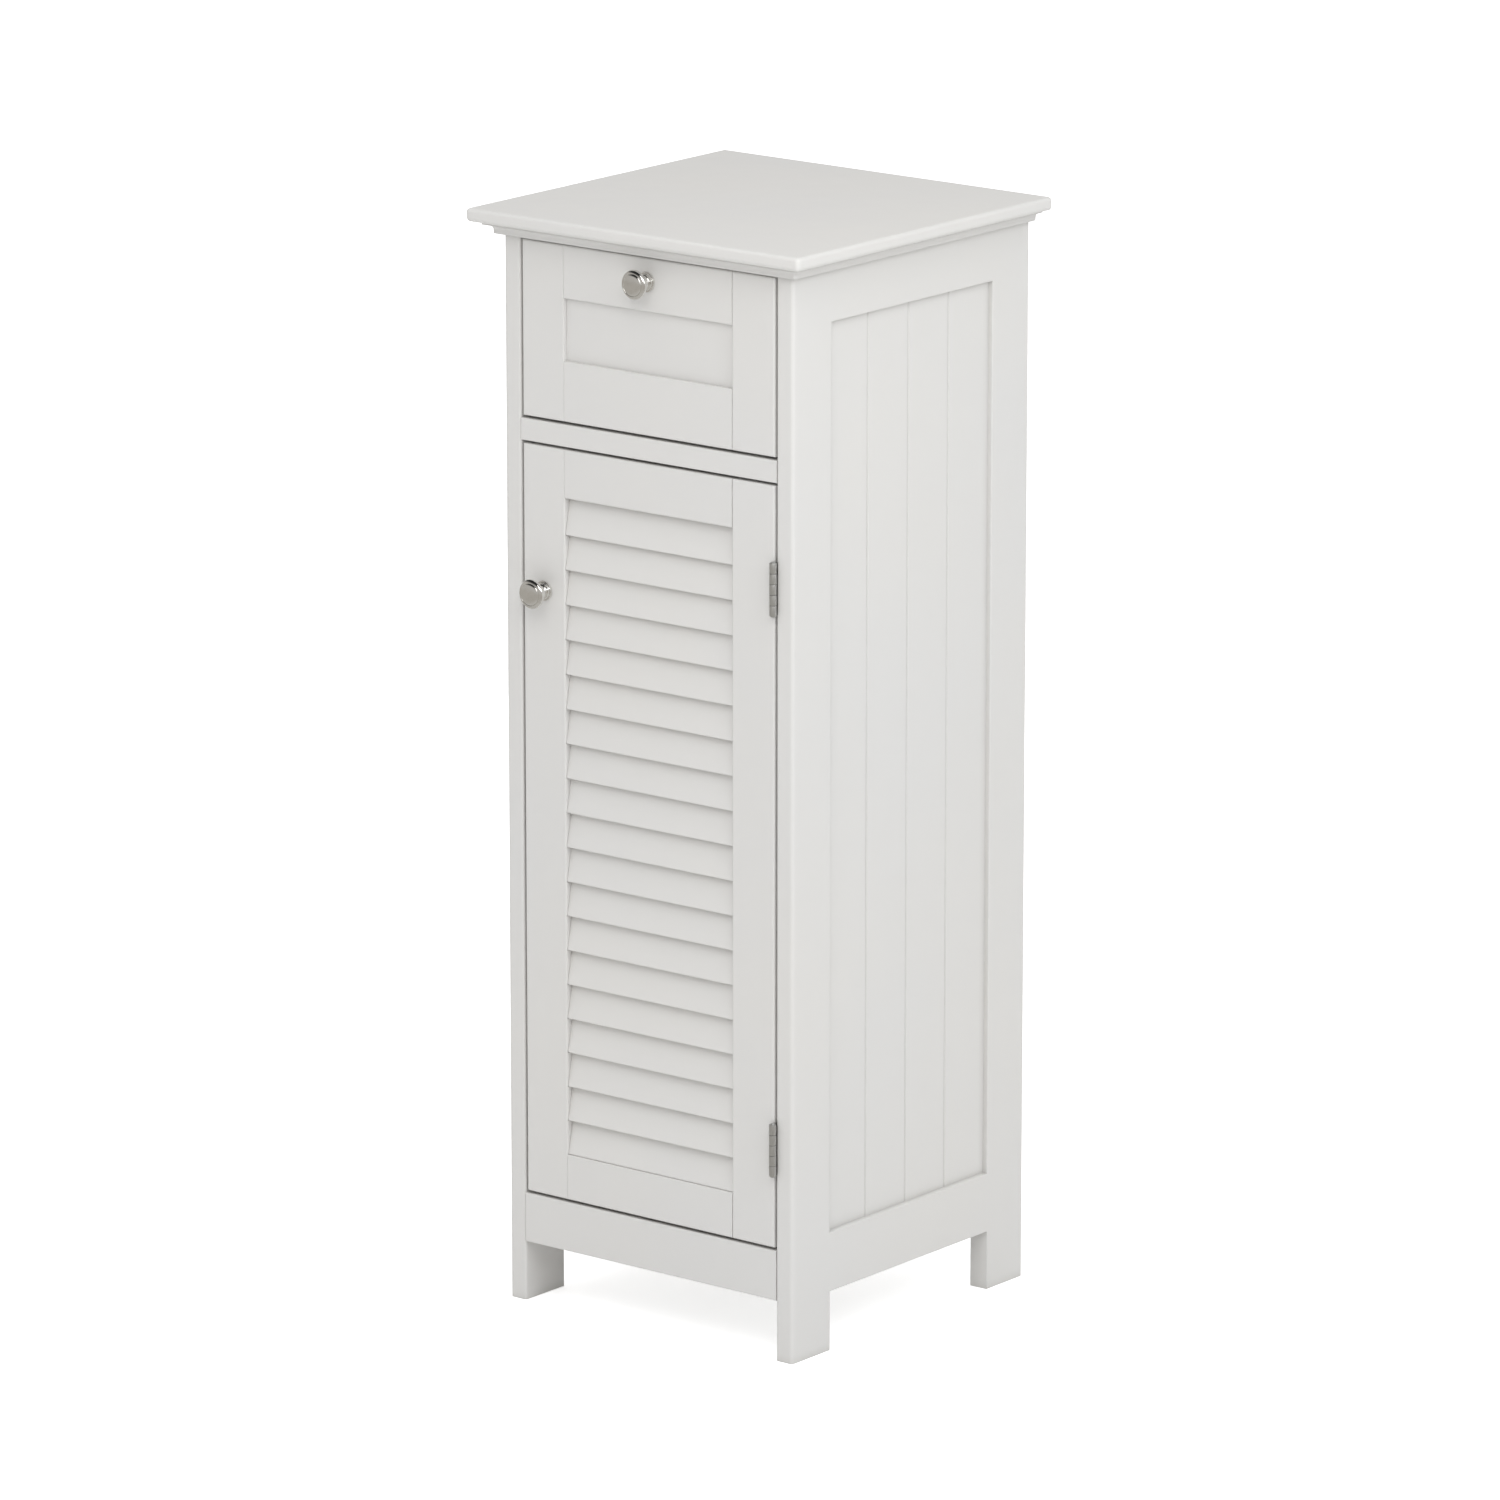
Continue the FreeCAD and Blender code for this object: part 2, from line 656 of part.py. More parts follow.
def make_side_panel(label, side):
    # The board is drawn at its inner face and grows outwards. The side is 1 or -1.
    body = new_body(label)
    inner = f"{side} * Places.inner_half"
    outer = f"{side} * Places.outer_half"
    left = side < 0
    arch_front = "Places.recess_front"
    arch_back = "Places.recess_back"
    sketch = sketch_on(body, "YZ_Plane", inner)
    outline(sketch, [("Places.front_plane", "0"), (arch_front, "0"), (arch_front, "Sizes.side_arch_height"),
                     (arch_back, "Sizes.side_arch_height"), (arch_back, "0"), ("Places.back_plane", "0"),
                     ("Places.back_plane", "Sizes.carcass_height"),
                     ("Places.front_plane", "Sizes.carcass_height")])
    pad(body, sketch, "Sizes.side_thickness", backwards=left)

    recess = sketch_on(body, "YZ_Plane", outer)
    rectangle(recess, ("Places.recess_front", "Places.recess_bottom"),
              ("Places.recess_back", "Places.recess_top"))
    pocket(body, recess, "Sizes.recess_depth", backwards=left)
    rim = [((outer, "Places.recess_front", "Places.recess_bottom"),
            (outer, "Places.recess_back", "Places.recess_top"))]
    round_over(body, "Sizes.recess_edge_radius", rim)

    floor = f"{side} * Places.recess_floor"
    valley = f"{side} * (Places.recess_floor - Sizes.vee_depth)"
    grooves = sketch_on(body, "XY_Plane", "Places.recess_bottom")
    for count in range(1, int(number("Sizes.field_boards"))):
        middle = f"Places.recess_front + {count} * Places.field_pitch"
        lips = [f"{middle} {sign} Sizes.vee_width / 2" for sign in "-+"]
        outline(grooves, [(floor, lips[0]), (floor, lips[1]), (valley, middle)])
    pocket(body, grooves, "Places.recess_top - Places.recess_bottom", backwards=True)

    for radius, x in (("Sizes.post_outer_radius", outer), ("Sizes.post_inner_radius", inner)):
        post = [((x, "Places.front_plane", "0"), (x, "Places.front_plane", "Sizes.carcass_height"))]
        round_over(body, radius, post)

    slot = sketch_on(body, "XY_Plane", "Places.floor_bottom")
    slot_bottom = f"{side} * (Places.inner_half + Sizes.back_tongue + Sizes.bore_overrun)"
    slot_front = "Places.back_panel_front - Sizes.groove_clearance"
    slot_back = "Places.back_panel_front + Sizes.back_thickness + Sizes.groove_clearance"
    rectangle(slot, (inner, slot_front), (slot_bottom, slot_back))
    pocket(body, slot, "Sizes.carcass_height - Places.floor_bottom", backwards=True)

    into_wood = not left
    runner_bore = "Sizes.long_screw_length - (Places.inner_half - Places.runner_inner) + Sizes.bore_overrun"
    bores(body, "YZ_Plane", inner, cam_ends, "Places.cam_bore", "Places.anchor_bore", into_wood)
    bores(body, "YZ_Plane", inner, dowel_ends, "Places.dowel_bore", "Places.anchor_bore", into_wood)
    bores(body, "YZ_Plane", inner, runner_screws, "Places.screw_bore", runner_bore, into_wood)
    bores(body, "YZ_Plane", inner, shelf_hole_places(), "Sizes.shelf_pin_radius + Sizes.bore_clearance",
          "Sizes.shelf_pin_depth + Sizes.bore_overrun", into_wood)
    top_discs = [(y, "Sizes.carcass_height - Sizes.cam_reach") for y in ("Places.cam_front", "Places.cam_back")]
    bores(body, "YZ_Plane", inner, top_discs, "Sizes.cam_disc_radius", "Places.side_disc_depth", into_wood)
    top_bolts = [(f"{side} * Places.side_middle", y) for y in ("Places.cam_front", "Places.cam_back")]
    bores(body, "XY_Plane", "Sizes.carcass_height", top_bolts, "Places.cam_bore", "Sizes.cam_reach")
    if side > 0:
        hinge_screw_bores(body, inner, into_wood)
    return body


# ---------------------------------------------------------------- boards between the sides


def end_bores(body, cams, dowels):
    # Bolt and dowel bores in both ends of a board that runs from side to side.
    for side in (1, -1):
        end = f"{side} * Places.inner_half"
        inwards = side < 0
        bores(body, "YZ_Plane", end, cams, "Places.cam_bore", "Sizes.cam_reach", inwards)
        bores(body, "YZ_Plane", end, dowels, "Places.dowel_bore", "Places.dowel_deep + Sizes.bore_overrun",
              inwards)


def disc_places(depths):
    across = ("Places.inner_half - Sizes.cam_reach", "-(Places.inner_half - Sizes.cam_reach)")
    return [(x, depth) for x in across for depth in depths]


def make_divider():
    body = board("divider_board", ("-Places.inner_half", "Places.front_plane", "Places.divider_bottom"),
                 ("Places.inner_half", "Places.back_panel_front", "Places.divider_top"))
    edges = level_edges("Places.inner_half", "Places.front_plane",
                        ("Places.divider_bottom", "Places.divider_top"))
    round_over(body, "Sizes.board_edge_radius", edges)
    end_bores(body, cam_ends[0:2], dowel_ends[0:2])
    bores(body, "XY_Plane", "Places.divider_bottom", disc_places(("Places.cam_front", "Places.cam_back")),
          "Sizes.cam_disc_radius", "Places.disc_depth", backwards=True)
    bores(body, "XY_Plane", "Places.divider_bottom", catch_screw_places(), "Places.screw_bore",
          "Sizes.long_screw_length - Sizes.catch_height + Sizes.bore_overrun", backwards=True)
    return body


def make_bottom_panel():
    body = board("bottom_panel", ("-Places.inner_half", "Places.apron_back", "Places.floor_bottom"),
                 ("Places.inner_half", "Places.back_panel_front", "Places.apron_top"))
    end_bores(body, cam_ends[2:4], dowel_ends[2:4])
    bores(body, "XY_Plane", "Places.floor_bottom", disc_places(("Places.cam_front", "Places.cam_back")),
          "Sizes.cam_disc_radius", "Places.disc_depth", backwards=True)
    return body


def make_front_apron():
    body = board("front_apron", ("-Places.inner_half", "Places.front_plane", "Sizes.front_arch_height"),
                 ("Places.inner_half", "Places.apron_back", "Places.apron_top"))
    edges = level_edges("Places.inner_half", "Places.front_plane",
                        ("Sizes.front_arch_height", "Places.apron_top"))
    round_over(body, "Sizes.board_edge_radius", edges)
    end_bores(body, cam_ends[4:], dowel_ends[4:])
    bores(body, "XZ_Plane", "Places.apron_back", disc_places(("Places.apron_cam",)),
          "Sizes.cam_disc_radius", "Places.disc_depth", backwards=True)
    return body


def make_back_panel():
    return board("back_panel",
                 ("-(Places.inner_half + Sizes.back_tongue)", "Places.back_panel_front", "Places.floor_bottom"),
                 ("Places.inner_half + Sizes.back_tongue", "Places.back_panel_front + Sizes.back_thickness",
                  "Sizes.carcass_height"))


def make_shelf():
    body = board("adjustable_shelf",
                 ("-(Places.inner_half - Sizes.shelf_side_gap)", "Places.shelf_front", "Sizes.shelf_height"),
                 ("Places.inner_half - Sizes.shelf_side_gap", "Places.shelf_back", "Places.shelf_top"))
    edges = level_edges("Places.inner_half", "Places.shelf_front", ("Sizes.shelf_height", "Places.shelf_top"))
    round_over(body, "Sizes.board_edge_radius", edges)
    return body


# ---------------------------------------------------------------- carcass fittings


def make_cam_fittings():
    bolts = []
    discs = []
    bolt_length = "Places.anchor_depth + Sizes.cam_reach"
    disc_radius = "Sizes.cam_disc_radius - Sizes.bore_clearance"

    def add_cam(bolt_start, bolt_way, disc_face, disc_way, disc_depth):
        # The bolt's head lies in a bore that runs from the disc's rim past its centre.
        bolts.append(peg(bolt_start, bolt_way, "Sizes.cam_bolt_radius", bolt_length))
        disc = peg(disc_face, disc_way, disc_radius, f"{disc_depth} - Sizes.bore_clearance")
        mouth = along(bolt_start, bolt_way, "Places.anchor_depth")
        bore = peg(mouth, bolt_way, "Places.cam_bore", "Sizes.cam_reach + Sizes.bore_clearance")
        discs.append(drilled(disc, bore))

    for side, inwards in ((1, "-x"), (-1, "+x")):
        outwards_x = f"{side} * (Places.inner_half + Places.anchor_depth)"
        disc_x = f"{side} * (Places.inner_half - Sizes.cam_reach)"
        for y, z in cam_ends[:4]:
            underside = "Places.divider_bottom" if z == "Places.divider_middle" else "Places.floor_bottom"
            add_cam((outwards_x, y, z), inwards, (disc_x, y, underside), "+z", "Places.disc_depth")
        y, z = cam_ends[4]
        add_cam((outwards_x, y, z), inwards, (disc_x, "Places.apron_back", z), "-y", "Places.disc_depth")
        disc_way = "+x" if side > 0 else "-x"
        for y in ("Places.cam_front", "Places.cam_back"):
            bolt_start = (f"{side} * Places.side_middle", y, "Sizes.carcass_height + Places.anchor_depth")
            disc_face = (f"{side} * Places.inner_half", y, "Sizes.carcass_height - Sizes.cam_reach")
            add_cam(bolt_start, "-z", disc_face, disc_way, "Places.side_disc_depth")
    grouped("cam_bolts", bolts)
    grouped("cam_discs", discs)


def make_dowels():
    dowels = []
    for side, inwards in ((1, "-x"), (-1, "+x")):
        start = f"{side} * (Places.inner_half + Places.anchor_depth)"
        for y, z in dowel_ends:
            dowels.append(peg((start, y, z), inwards, "Sizes.dowel_radius", "Sizes.dowel_length"))
    grouped("wooden_dowels", dowels)


def make_shelf_pins():
    pins = []
    length = "Sizes.shelf_pin_depth + Sizes.shelf_pin_length"
    for side, inwards in ((1, "-x"), (-1, "+x")):
        for y in ("Places.shelf_pin_front", "Places.shelf_pin_back"):
            start = (f"{side} * (Places.inner_half + Sizes.shelf_pin_depth)", y, "Places.shelf_pin_z")
            pin = peg(start, inwards, "Sizes.shelf_pin_radius", length)
            face = (f"{side} * Places.inner_half", y, "Places.shelf_pin_z")
            collar = peg(face, inwards, "Sizes.shelf_pin_collar_radius", "Sizes.shelf_pin_collar")
            pins.append(fused(pin, collar))
    grouped("shelf_pins", pins)


def catch_screw_places():
    return [(f"-Places.stile_middle {sign} Sizes.catch_screw_spread", "Places.catch_middle") for sign in "+-"]


def make_catch():
    body = board("magnetic_catch",
                 ("-Places.stile_middle - Sizes.catch_width / 2", "Places.catch_front", "Places.catch_bottom"),
                 ("-Places.stile_middle + Sizes.catch_width / 2", "Places.catch_front + Sizes.catch_depth",
                  "Places.divider_bottom"))
    for x, y in catch_screw_places():
        screw_hole(body, (x, y, "Places.catch_bottom"), "+z", "Sizes.catch_height")
    return body


def make_strike_plate():
    return board("strike_plate",
                 ("-Places.stile_middle - Sizes.strike_width / 2", "Places.fronts_rear",
                  "Places.strike_top - Sizes.strike_height"),
                 ("-Places.stile_middle + Sizes.strike_width / 2", "Places.strike_back", "Places.strike_top"))


def make_wood_screws():
    screws = []
    leaf_face = "Places.inner_half - Sizes.hinge_leaf_thickness"
    for bottom in hinge_bottoms.values():
        screws += [countersunk_screw(place, "+x") for place in hinge_screw_places(leaf_face, bottom)]
    length = "Sizes.long_screw_length"
    for side, outwards in ((1, "+x"), (-1, "-x")):
        face = f"{side} * Places.runner_inner"
        screws += [countersunk_screw((face, y, z), outwards, length) for y, z in runner_screws]
    screws += [countersunk_screw((x, y, "Places.catch_bottom"), "+z", length) for x, y in catch_screw_places()]
    grouped("wood_screws", screws)


# ---------------------------------------------------------------- drawer

box_dowel_heights = ("Places.box_dowel_low", "Places.box_dowel_high")
back_dowel_places = [("Places.box_back_middle", z) for z in box_dowel_heights]


def make_runner(label, side):
    # A strip on the side panel that the drawer's groove slides on.
    inner = f"{side} * Places.runner_inner"
    low_x, high_x = ordered(side, inner, f"{side} * Places.inner_half")
    body = board(label, (low_x, "Places.runner_front", "Places.runner_bottom"),
                 (high_x, "Places.runner_back", "Places.runner_top"))
    outwards = "+x" if side > 0 else "-x"
    for y, z in runner_screws:
        screw_hole(body, (inner, y, z), outwards, "Places.inner_half - Places.runner_inner")
    return body


def make_stile(label, side, bottom, top):
    # The outside edges get the full rounding, the inside edge only breaks its arris.
    inner = f"{side} * Places.stile_inner"
    outer = f"{side} * Places.front_half"
    low_x, high_x = ordered(side, inner, outer)
    front = "Places.front_plane"
    body = board(label, (low_x, front, bottom), (high_x, "Places.fronts_rear", top))
    outside = [((outer, front, bottom), (outer, front, top)), ((low_x, front, top), (high_x, front, top)),
               ((low_x, front, bottom), (high_x, front, bottom))]
    round_over(body, "Sizes.front_edge_radius", outside)
    round_over(body, "Sizes.arris_radius", [((inner, front, bottom), (inner, front, top))])
    return body


def side_dowel_places(side):
    # The dowels that join a drawer side to the drawer front.
    return [(f"{side} * Places.box_side_middle", z) for z in box_dowel_heights]


def make_drawer_stile(label, side):
    body = make_stile(label, side, "Places.drawer_bottom", "Places.drawer_top")
    slot_bottom = f"{side} * (Places.stile_inner + Sizes.panel_tongue + Sizes.bore_overrun)"
    low_x, high_x = ordered(side, f"{side} * Places.stile_inner", slot_bottom)
    block(body, "SubtractiveBox",
          (low_x, "Places.panel_front - Sizes.groove_clearance", "Places.drawer_bottom"),
          (high_x, "Places.panel_back + Sizes.groove_clearance", "Places.drawer_top"))
    bores(body, "XZ_Plane", "Places.fronts_rear", side_dowel_places(side), "Places.box_dowel_bore",
          "Sizes.box_dowel_shallow + Sizes.bore_overrun", backwards=True)
    return body


def make_rail(label, bottom, top, outside, inside):
    body = board(label, ("-Places.stile_inner", "Places.front_plane", bottom),
                 ("Places.stile_inner", "Places.fronts_rear", top))
    for radius, height in (("Sizes.front_edge_radius", outside), ("Sizes.arris_radius", inside)):
        round_over(body, radius, level_edges("Places.stile_inner", "Places.front_plane", (height,)))
    return body


def make_drawer_rail(label, bottom, top, outside, inside):
    # The stub tenons fill the stiles' grooves, and the inside edge is grooved for the panel.
    body = make_rail(label, bottom, top, outside, inside)
    tenon_half = "Places.stile_inner + Sizes.panel_tongue"
    block(body, "AdditiveBox", (minus(tenon_half), "Places.panel_front", bottom),
          (tenon_half, "Places.panel_back", top))
    depth = "Sizes.panel_tongue + Sizes.bore_overrun"
    low, high = (f"{inside} - ({depth})", inside) if inside == top else (inside, f"{inside} + {depth}")
    reach = f"{tenon_half} + Sizes.bore_overrun"
    block(body, "SubtractiveBox", (minus(reach), "Places.panel_front - Sizes.groove_clearance", low),
          (reach, "Places.panel_back + Sizes.groove_clearance", high))
    return body


def make_drawer_front():
    make_drawer_stile("drawer_left_stile", -1)
    make_drawer_stile("drawer_right_stile", 1)
    top_rail = make_drawer_rail("drawer_top_rail", "Places.drawer_open_top", "Places.drawer_top",
                                "Places.drawer_top", "Places.drawer_open_top")
    bores(top_rail, "XZ_Plane", "Places.front_plane", [("0", "Places.knob_drawer_height")],
          "Sizes.knob_screw_radius + Sizes.bore_clearance", "Sizes.front_thickness")
    make_drawer_rail("drawer_bottom_rail", "Places.drawer_bottom", "Places.drawer_open_bottom",
                     "Places.drawer_bottom", "Places.drawer_open_bottom")
    board("drawer_front_panel",
          ("-(Places.stile_inner + Sizes.panel_tongue)", "Places.panel_front",
           "Places.drawer_open_bottom - Sizes.panel_tongue"),
          ("Places.stile_inner + Sizes.panel_tongue", "Places.panel_back",
           "Places.drawer_open_top + Sizes.panel_tongue"))


def make_drawer_side(label, side):
    inner = f"{side} * Places.box_inner"
    outer = f"{side} * Places.box_outer"
    low_x, high_x = ordered(side, inner, outer)
    body = board(label, (low_x, "Places.fronts_rear", "Places.box_bottom"),
                 (high_x, "Places.box_back", "Places.box_top"))
    play = "Sizes.runner_clearance"
    low_x, high_x = ordered(side, f"{side} * (Places.runner_inner - {play})", outer)
    block(body, "SubtractiveBox",
          (low_x, f"Places.runner_front - {play}", f"Places.runner_bottom - {play}"),
          (high_x, "Places.box_back", f"Places.runner_top + {play}"))
    slot_floor = f"{side} * (Places.box_inner + Sizes.box_bottom_tongue + Sizes.bore_overrun)"
    low_x, high_x = ordered(side, inner, slot_floor)
    block(body, "SubtractiveBox", (low_x, "Places.fronts_rear", "Places.box_floor - Sizes.groove_clearance"),
          (high_x, "Places.box_back", "Places.box_floor_top + Sizes.groove_clearance"))
    bores(body, "XZ_Plane", "Places.fronts_rear", side_dowel_places(side), "Places.box_dowel_bore",
          "Sizes.box_dowel_deep + Sizes.bore_overrun")
    bores(body, "YZ_Plane", inner, back_dowel_places, "Places.box_dowel_bore",
          "Sizes.box_dowel_shallow + Sizes.bore_overrun", backwards=side > 0)
    return body


def make_drawer_box():
    make_drawer_side("drawer_left_side", -1)
    make_drawer_side("drawer_right_side", 1)
    back = board("drawer_back",
                 ("-Places.box_inner", "Places.box_back - Sizes.box_side_thickness",
                  "Places.box_floor_top + Sizes.groove_clearance"),
                 ("Places.box_inner", "Places.box_back", "Places.box_top"))
    for side in (1, -1):
        bores(back, "YZ_Plane", f"{side} * Places.box_inner", back_dowel_places, "Places.box_dowel_bore",
              "Sizes.box_dowel_deep + Sizes.bore_overrun", backwards=side < 0)
    board("drawer_bottom",
          ("-(Places.box_inner + Sizes.box_bottom_tongue)", "Places.fronts_rear", "Places.box_floor"),
          ("Places.box_inner + Sizes.box_bottom_tongue", "Places.box_back", "Places.box_floor_top"))
    radius = "Sizes.box_dowel_radius"
    length = "Sizes.box_dowel_shallow + Sizes.box_dowel_deep"
    front_y = "Places.fronts_rear - Sizes.box_dowel_shallow"
    dowels = []
    for side, inwards in ((1, "-x"), (-1, "+x")):
        dowels += [peg((x, front_y, z), "+y", radius, length) for x, z in side_dowel_places(side)]
        back_x = f"{side} * (Places.box_inner + Sizes.box_dowel_shallow)"
        dowels += [peg((back_x, y, z), inwards, radius, length) for y, z in back_dowel_places]
    grouped("drawer_dowels", dowels)


# ---------------------------------------------------------------- door


def slat_corners(margin):
    # One slat's section in Y and Z, with a margin all round for the housing that it stands in.
    low = f"Places.louvre_bottom - {margin}"
    high = f"Places.louvre_bottom + Places.slat_rise + {margin}"
    front = f"Places.slat_front - {margin} - {margin} * Places.slat_lean"
    width = f"Places.slat_width + 2 * {margin}"
    lean = f"(Places.slat_rise + 2 * {margin}) * Places.slat_lean"
    return [(front, low), (f"{front} + {width}", low), (f"{front} + {width} + {lean}", high),
            (f"{front} + {lean}", high)]


def make_slat(index):
    body = new_body(f"louvre_slat_{index + 1:02d}")
    sketch = sketch_on(body, "YZ_Plane", "-Places.slat_half")
    outline(sketch, slat_corners("0"))
    pad(body, sketch, "2 * Places.slat_half")
    nose = ("Places.slat_front", "Places.louvre_bottom")
    round_over(body, "Sizes.slat_edge_radius", [(("-Places.slat_half", *nose), ("Places.slat_half", *nose))])
    body.setExpression("Placement.Base.z", f"{index} * Places.louvre_pitch")
    return body


def make_door_stile(label, side):
    body = make_stile(label, side, "Places.door_bottom", "Places.door_top")
    sketch = sketch_on(body, "YZ_Plane", f"{side} * Places.stile_inner")
    outline(sketch, slat_corners("Sizes.groove_clearance"))
    housing = pocket(body, sketch, "Sizes.slat_housing + Sizes.groove_clearance", backwards=side > 0)
    before = body.Shape.Volume
    pattern = body.newObject("PartDesign::LinearPattern", "Housings")
    pattern.Originals = [housing]
    pattern.Direction = (sketch, ["V_Axis"])
    pattern.setExpression("Length", "Places.louvre_pitch * (Sizes.louvre_count - 1)")
    pattern.setExpression("Occurrences", "Sizes.louvre_count")
    body.Tip = pattern
    document.recompute()
    if body.Shape.Volume >= before:
        raise RuntimeError(f"the housings of {label} cut nothing")
    return body


def make_door():
    left = make_door_stile("door_left_stile", -1)
    bores(left, "XZ_Plane", "Places.front_plane", [("-Places.stile_middle", "Sizes.door_knob_height")],
          "Sizes.knob_screw_radius + Sizes.bore_clearance", "Sizes.front_thickness")
    right = make_door_stile("door_right_stile", 1)
    hinge_screw_bores(right, "Places.front_half", False)
    top_rail = make_rail("door_top_rail", "Places.louvre_top", "Places.door_top", "Places.door_top",
                         "Places.louvre_top")
    # The top slat runs up into a groove under the top rail.
    lean_below = "(Places.louvre_pitch + Sizes.louvre_top_gap) * Places.slat_lean"
    lean_inside = "Places.slat_rise * Places.slat_lean"
    slot_front = f"Places.slat_front + {lean_below} - Sizes.groove_clearance"
    slot_back = f"Places.slat_front + {lean_inside} + Places.slat_width + Sizes.groove_clearance"
    slot_top = "Places.louvre_top + Sizes.slat_overlap - Sizes.louvre_top_gap + Sizes.bore_overrun"
    block(top_rail, "SubtractiveBox", ("-Places.stile_inner", slot_front, "Places.louvre_top"),
          ("Places.stile_inner", slot_back, slot_top))
    make_rail("door_bottom_rail", "Places.door_bottom", "Places.louvre_bottom", "Places.door_bottom",
              "Places.louvre_bottom")
    for index in range(int(number("Sizes.louvre_count"))):
        make_slat(index)


# ---------------------------------------------------------------- knobs


def make_knob(label, x, z):
    # Turned about the Y axis: a stepped base, a slim neck, a flared cup with a rim and a domed face.
    body = new_body(label)
    step = "Sizes.knob_base_thickness + Sizes.knob_ring_thickness"
    rim_end = "Sizes.knob_rim_start + Sizes.knob_rim_width"
    corners = [("0", "0"), ("0", "Sizes.knob_base_radius"),
               ("-Sizes.knob_base_thickness", "Sizes.knob_base_radius"),
               ("-Sizes.knob_base_thickness", "Sizes.knob_ring_radius"),
               (minus(step), "Sizes.knob_ring_radius"),
               ("-Sizes.knob_neck_start", "Sizes.knob_neck_radius"),
               ("-Sizes.knob_neck_end", "Sizes.knob_neck_radius"),
               ("-Sizes.knob_rim_start", "Sizes.knob_radius"),
               (minus(rim_end), "Sizes.knob_radius"),
               ("-Sizes.knob_face_start", "Sizes.knob_face_radius"),
               ("-Sizes.knob_projection", "0")]
    rise = "(Sizes.knob_projection - Sizes.knob_face_start)"
    dome_radius = f"(pow(Sizes.knob_face_radius; 2) + pow({rise}; 2)) / (2 * {rise})"
    arcs = {4: (bent(corners, 4, "Sizes.knob_neck_bend"), 1), 6: (bent(corners, 6, "Sizes.knob_flare_bend"), 1),
            8: (bent(corners, 8, "Sizes.knob_rim_bend"), -1), 9: (dome_radius, -1)}
    sketch = sketch_on(body, "YZ_Plane", "0")
    outline(sketch, corners, arcs)
    turned_shape = body.newObject("PartDesign::Revolution", "Turned")
    turned_shape.Profile = sketch
    turned_shape.ReferenceAxis = (sketch, ["H_Axis"])
    turned_shape.Angle = 360
    document.recompute()
    bores(body, "XZ_Plane", "0", [("0", "0")], "Sizes.knob_screw_radius + Sizes.bore_clearance",
          "Sizes.knob_screw_reach + Sizes.bore_overrun", backwards=True)
    for axis, rule in zip("xyz", (x, "Places.front_plane", z)):
        body.setExpression(f"Placement.Base.{axis}", rule)
    return body


def make_knob_screw(label, x, z):
    head = peg((x, "Places.fronts_rear + Sizes.knob_screw_head_height", z), "-y",
               "Sizes.knob_screw_head_radius", "Sizes.knob_screw_head_height")
    shank = peg((x, "Places.fronts_rear", z), "-y", "Sizes.knob_screw_radius",
                "Sizes.front_thickness + Sizes.knob_screw_reach")
    screw = fused(head, shank)
    screw.Label = label
    nodes.append(screw)


# ---------------------------------------------------------------- hinges


def make_leaf(label, bottom, low_x, high_x, first_knuckle, screw_face, screw_way):
    # A plate beside the gap, tabs that reach forward to every second knuckle, and the pin's bore.
    body = board(label, (low_x, "Places.hinge_leaf_front", bottom),
                 (high_x, "Places.hinge_leaf_back", f"{bottom} + Sizes.hinge_height"))
    pin_axis = ("Places.hinge_x", "Places.hinge_y")
    last = int(number("Sizes.hinge_knuckles")) - 1
    for index in range(first_knuckle, last + 1, 2):
        low_gap = "Sizes.hinge_knuckle_gap / 2" if index > 0 else "0"
        high_gap = "Sizes.hinge_knuckle_gap / 2" if index < last else "0"
        low = f"{bottom} + {index} * Places.knuckle_pitch + {low_gap}"
        high = f"{bottom} + {index + 1} * Places.knuckle_pitch - {high_gap}"
        block(body, "AdditiveBox", (low_x, "Places.hinge_y", low), (high_x, "Places.hinge_leaf_front", high))
        knuckle = {"Radius": "Sizes.hinge_knuckle_radius", "Height": f"{high} - ({low})"}
        primitive(body, "AdditiveCylinder", knuckle, (*pin_axis, low))
    bore = {"Radius": "Sizes.hinge_pin_radius + Sizes.hinge_pin_clearance", "Height": "Sizes.hinge_height"}
    primitive(body, "SubtractiveCylinder", bore, (*pin_axis, bottom))
    for x, y, z in hinge_screw_places(screw_face, bottom):
        screw_hole(body, (x, y, z), screw_way, "Sizes.hinge_leaf_thickness")
    return body


def make_hinges():
    pins = []
    cabinet_face = "Places.inner_half - Sizes.hinge_leaf_thickness"
    door_face = "Places.front_half + Sizes.hinge_leaf_thickness"
    for name, bottom in hinge_bottoms.items():
        make_leaf(f"{name}_hinge_cabinet_leaf", bottom, cabinet_face, "Places.inner_half", 0,
                  cabinet_face, "+x")
        make_leaf(f"{name}_hinge_door_leaf", bottom, "Places.front_half", door_face, 1, door_face, "-x")
        axis = ("Places.hinge_x", "Places.hinge_y")
        shaft = peg((*axis, bottom), "+z", "Sizes.hinge_pin_radius", "Sizes.hinge_height")
        tip_low = peg((*axis, bottom), "-z", "Sizes.hinge_tip_radius", "Sizes.hinge_tip_height")
        tip_high = peg((*axis, f"{bottom} + Sizes.hinge_height"), "+z", "Sizes.hinge_tip_radius",
                       "Sizes.hinge_tip_height")
        pins.append(fused(fused(shaft, tip_low), tip_high))
    grouped("hinge_pins", pins)
    places = [place for bottom in hinge_bottoms.values() for place in hinge_screw_places(door_face, bottom)]
    grouped("hinge_door_screws", [countersunk_screw(place, "-x") for place in places])


# ---------------------------------------------------------------- the whole cabinet

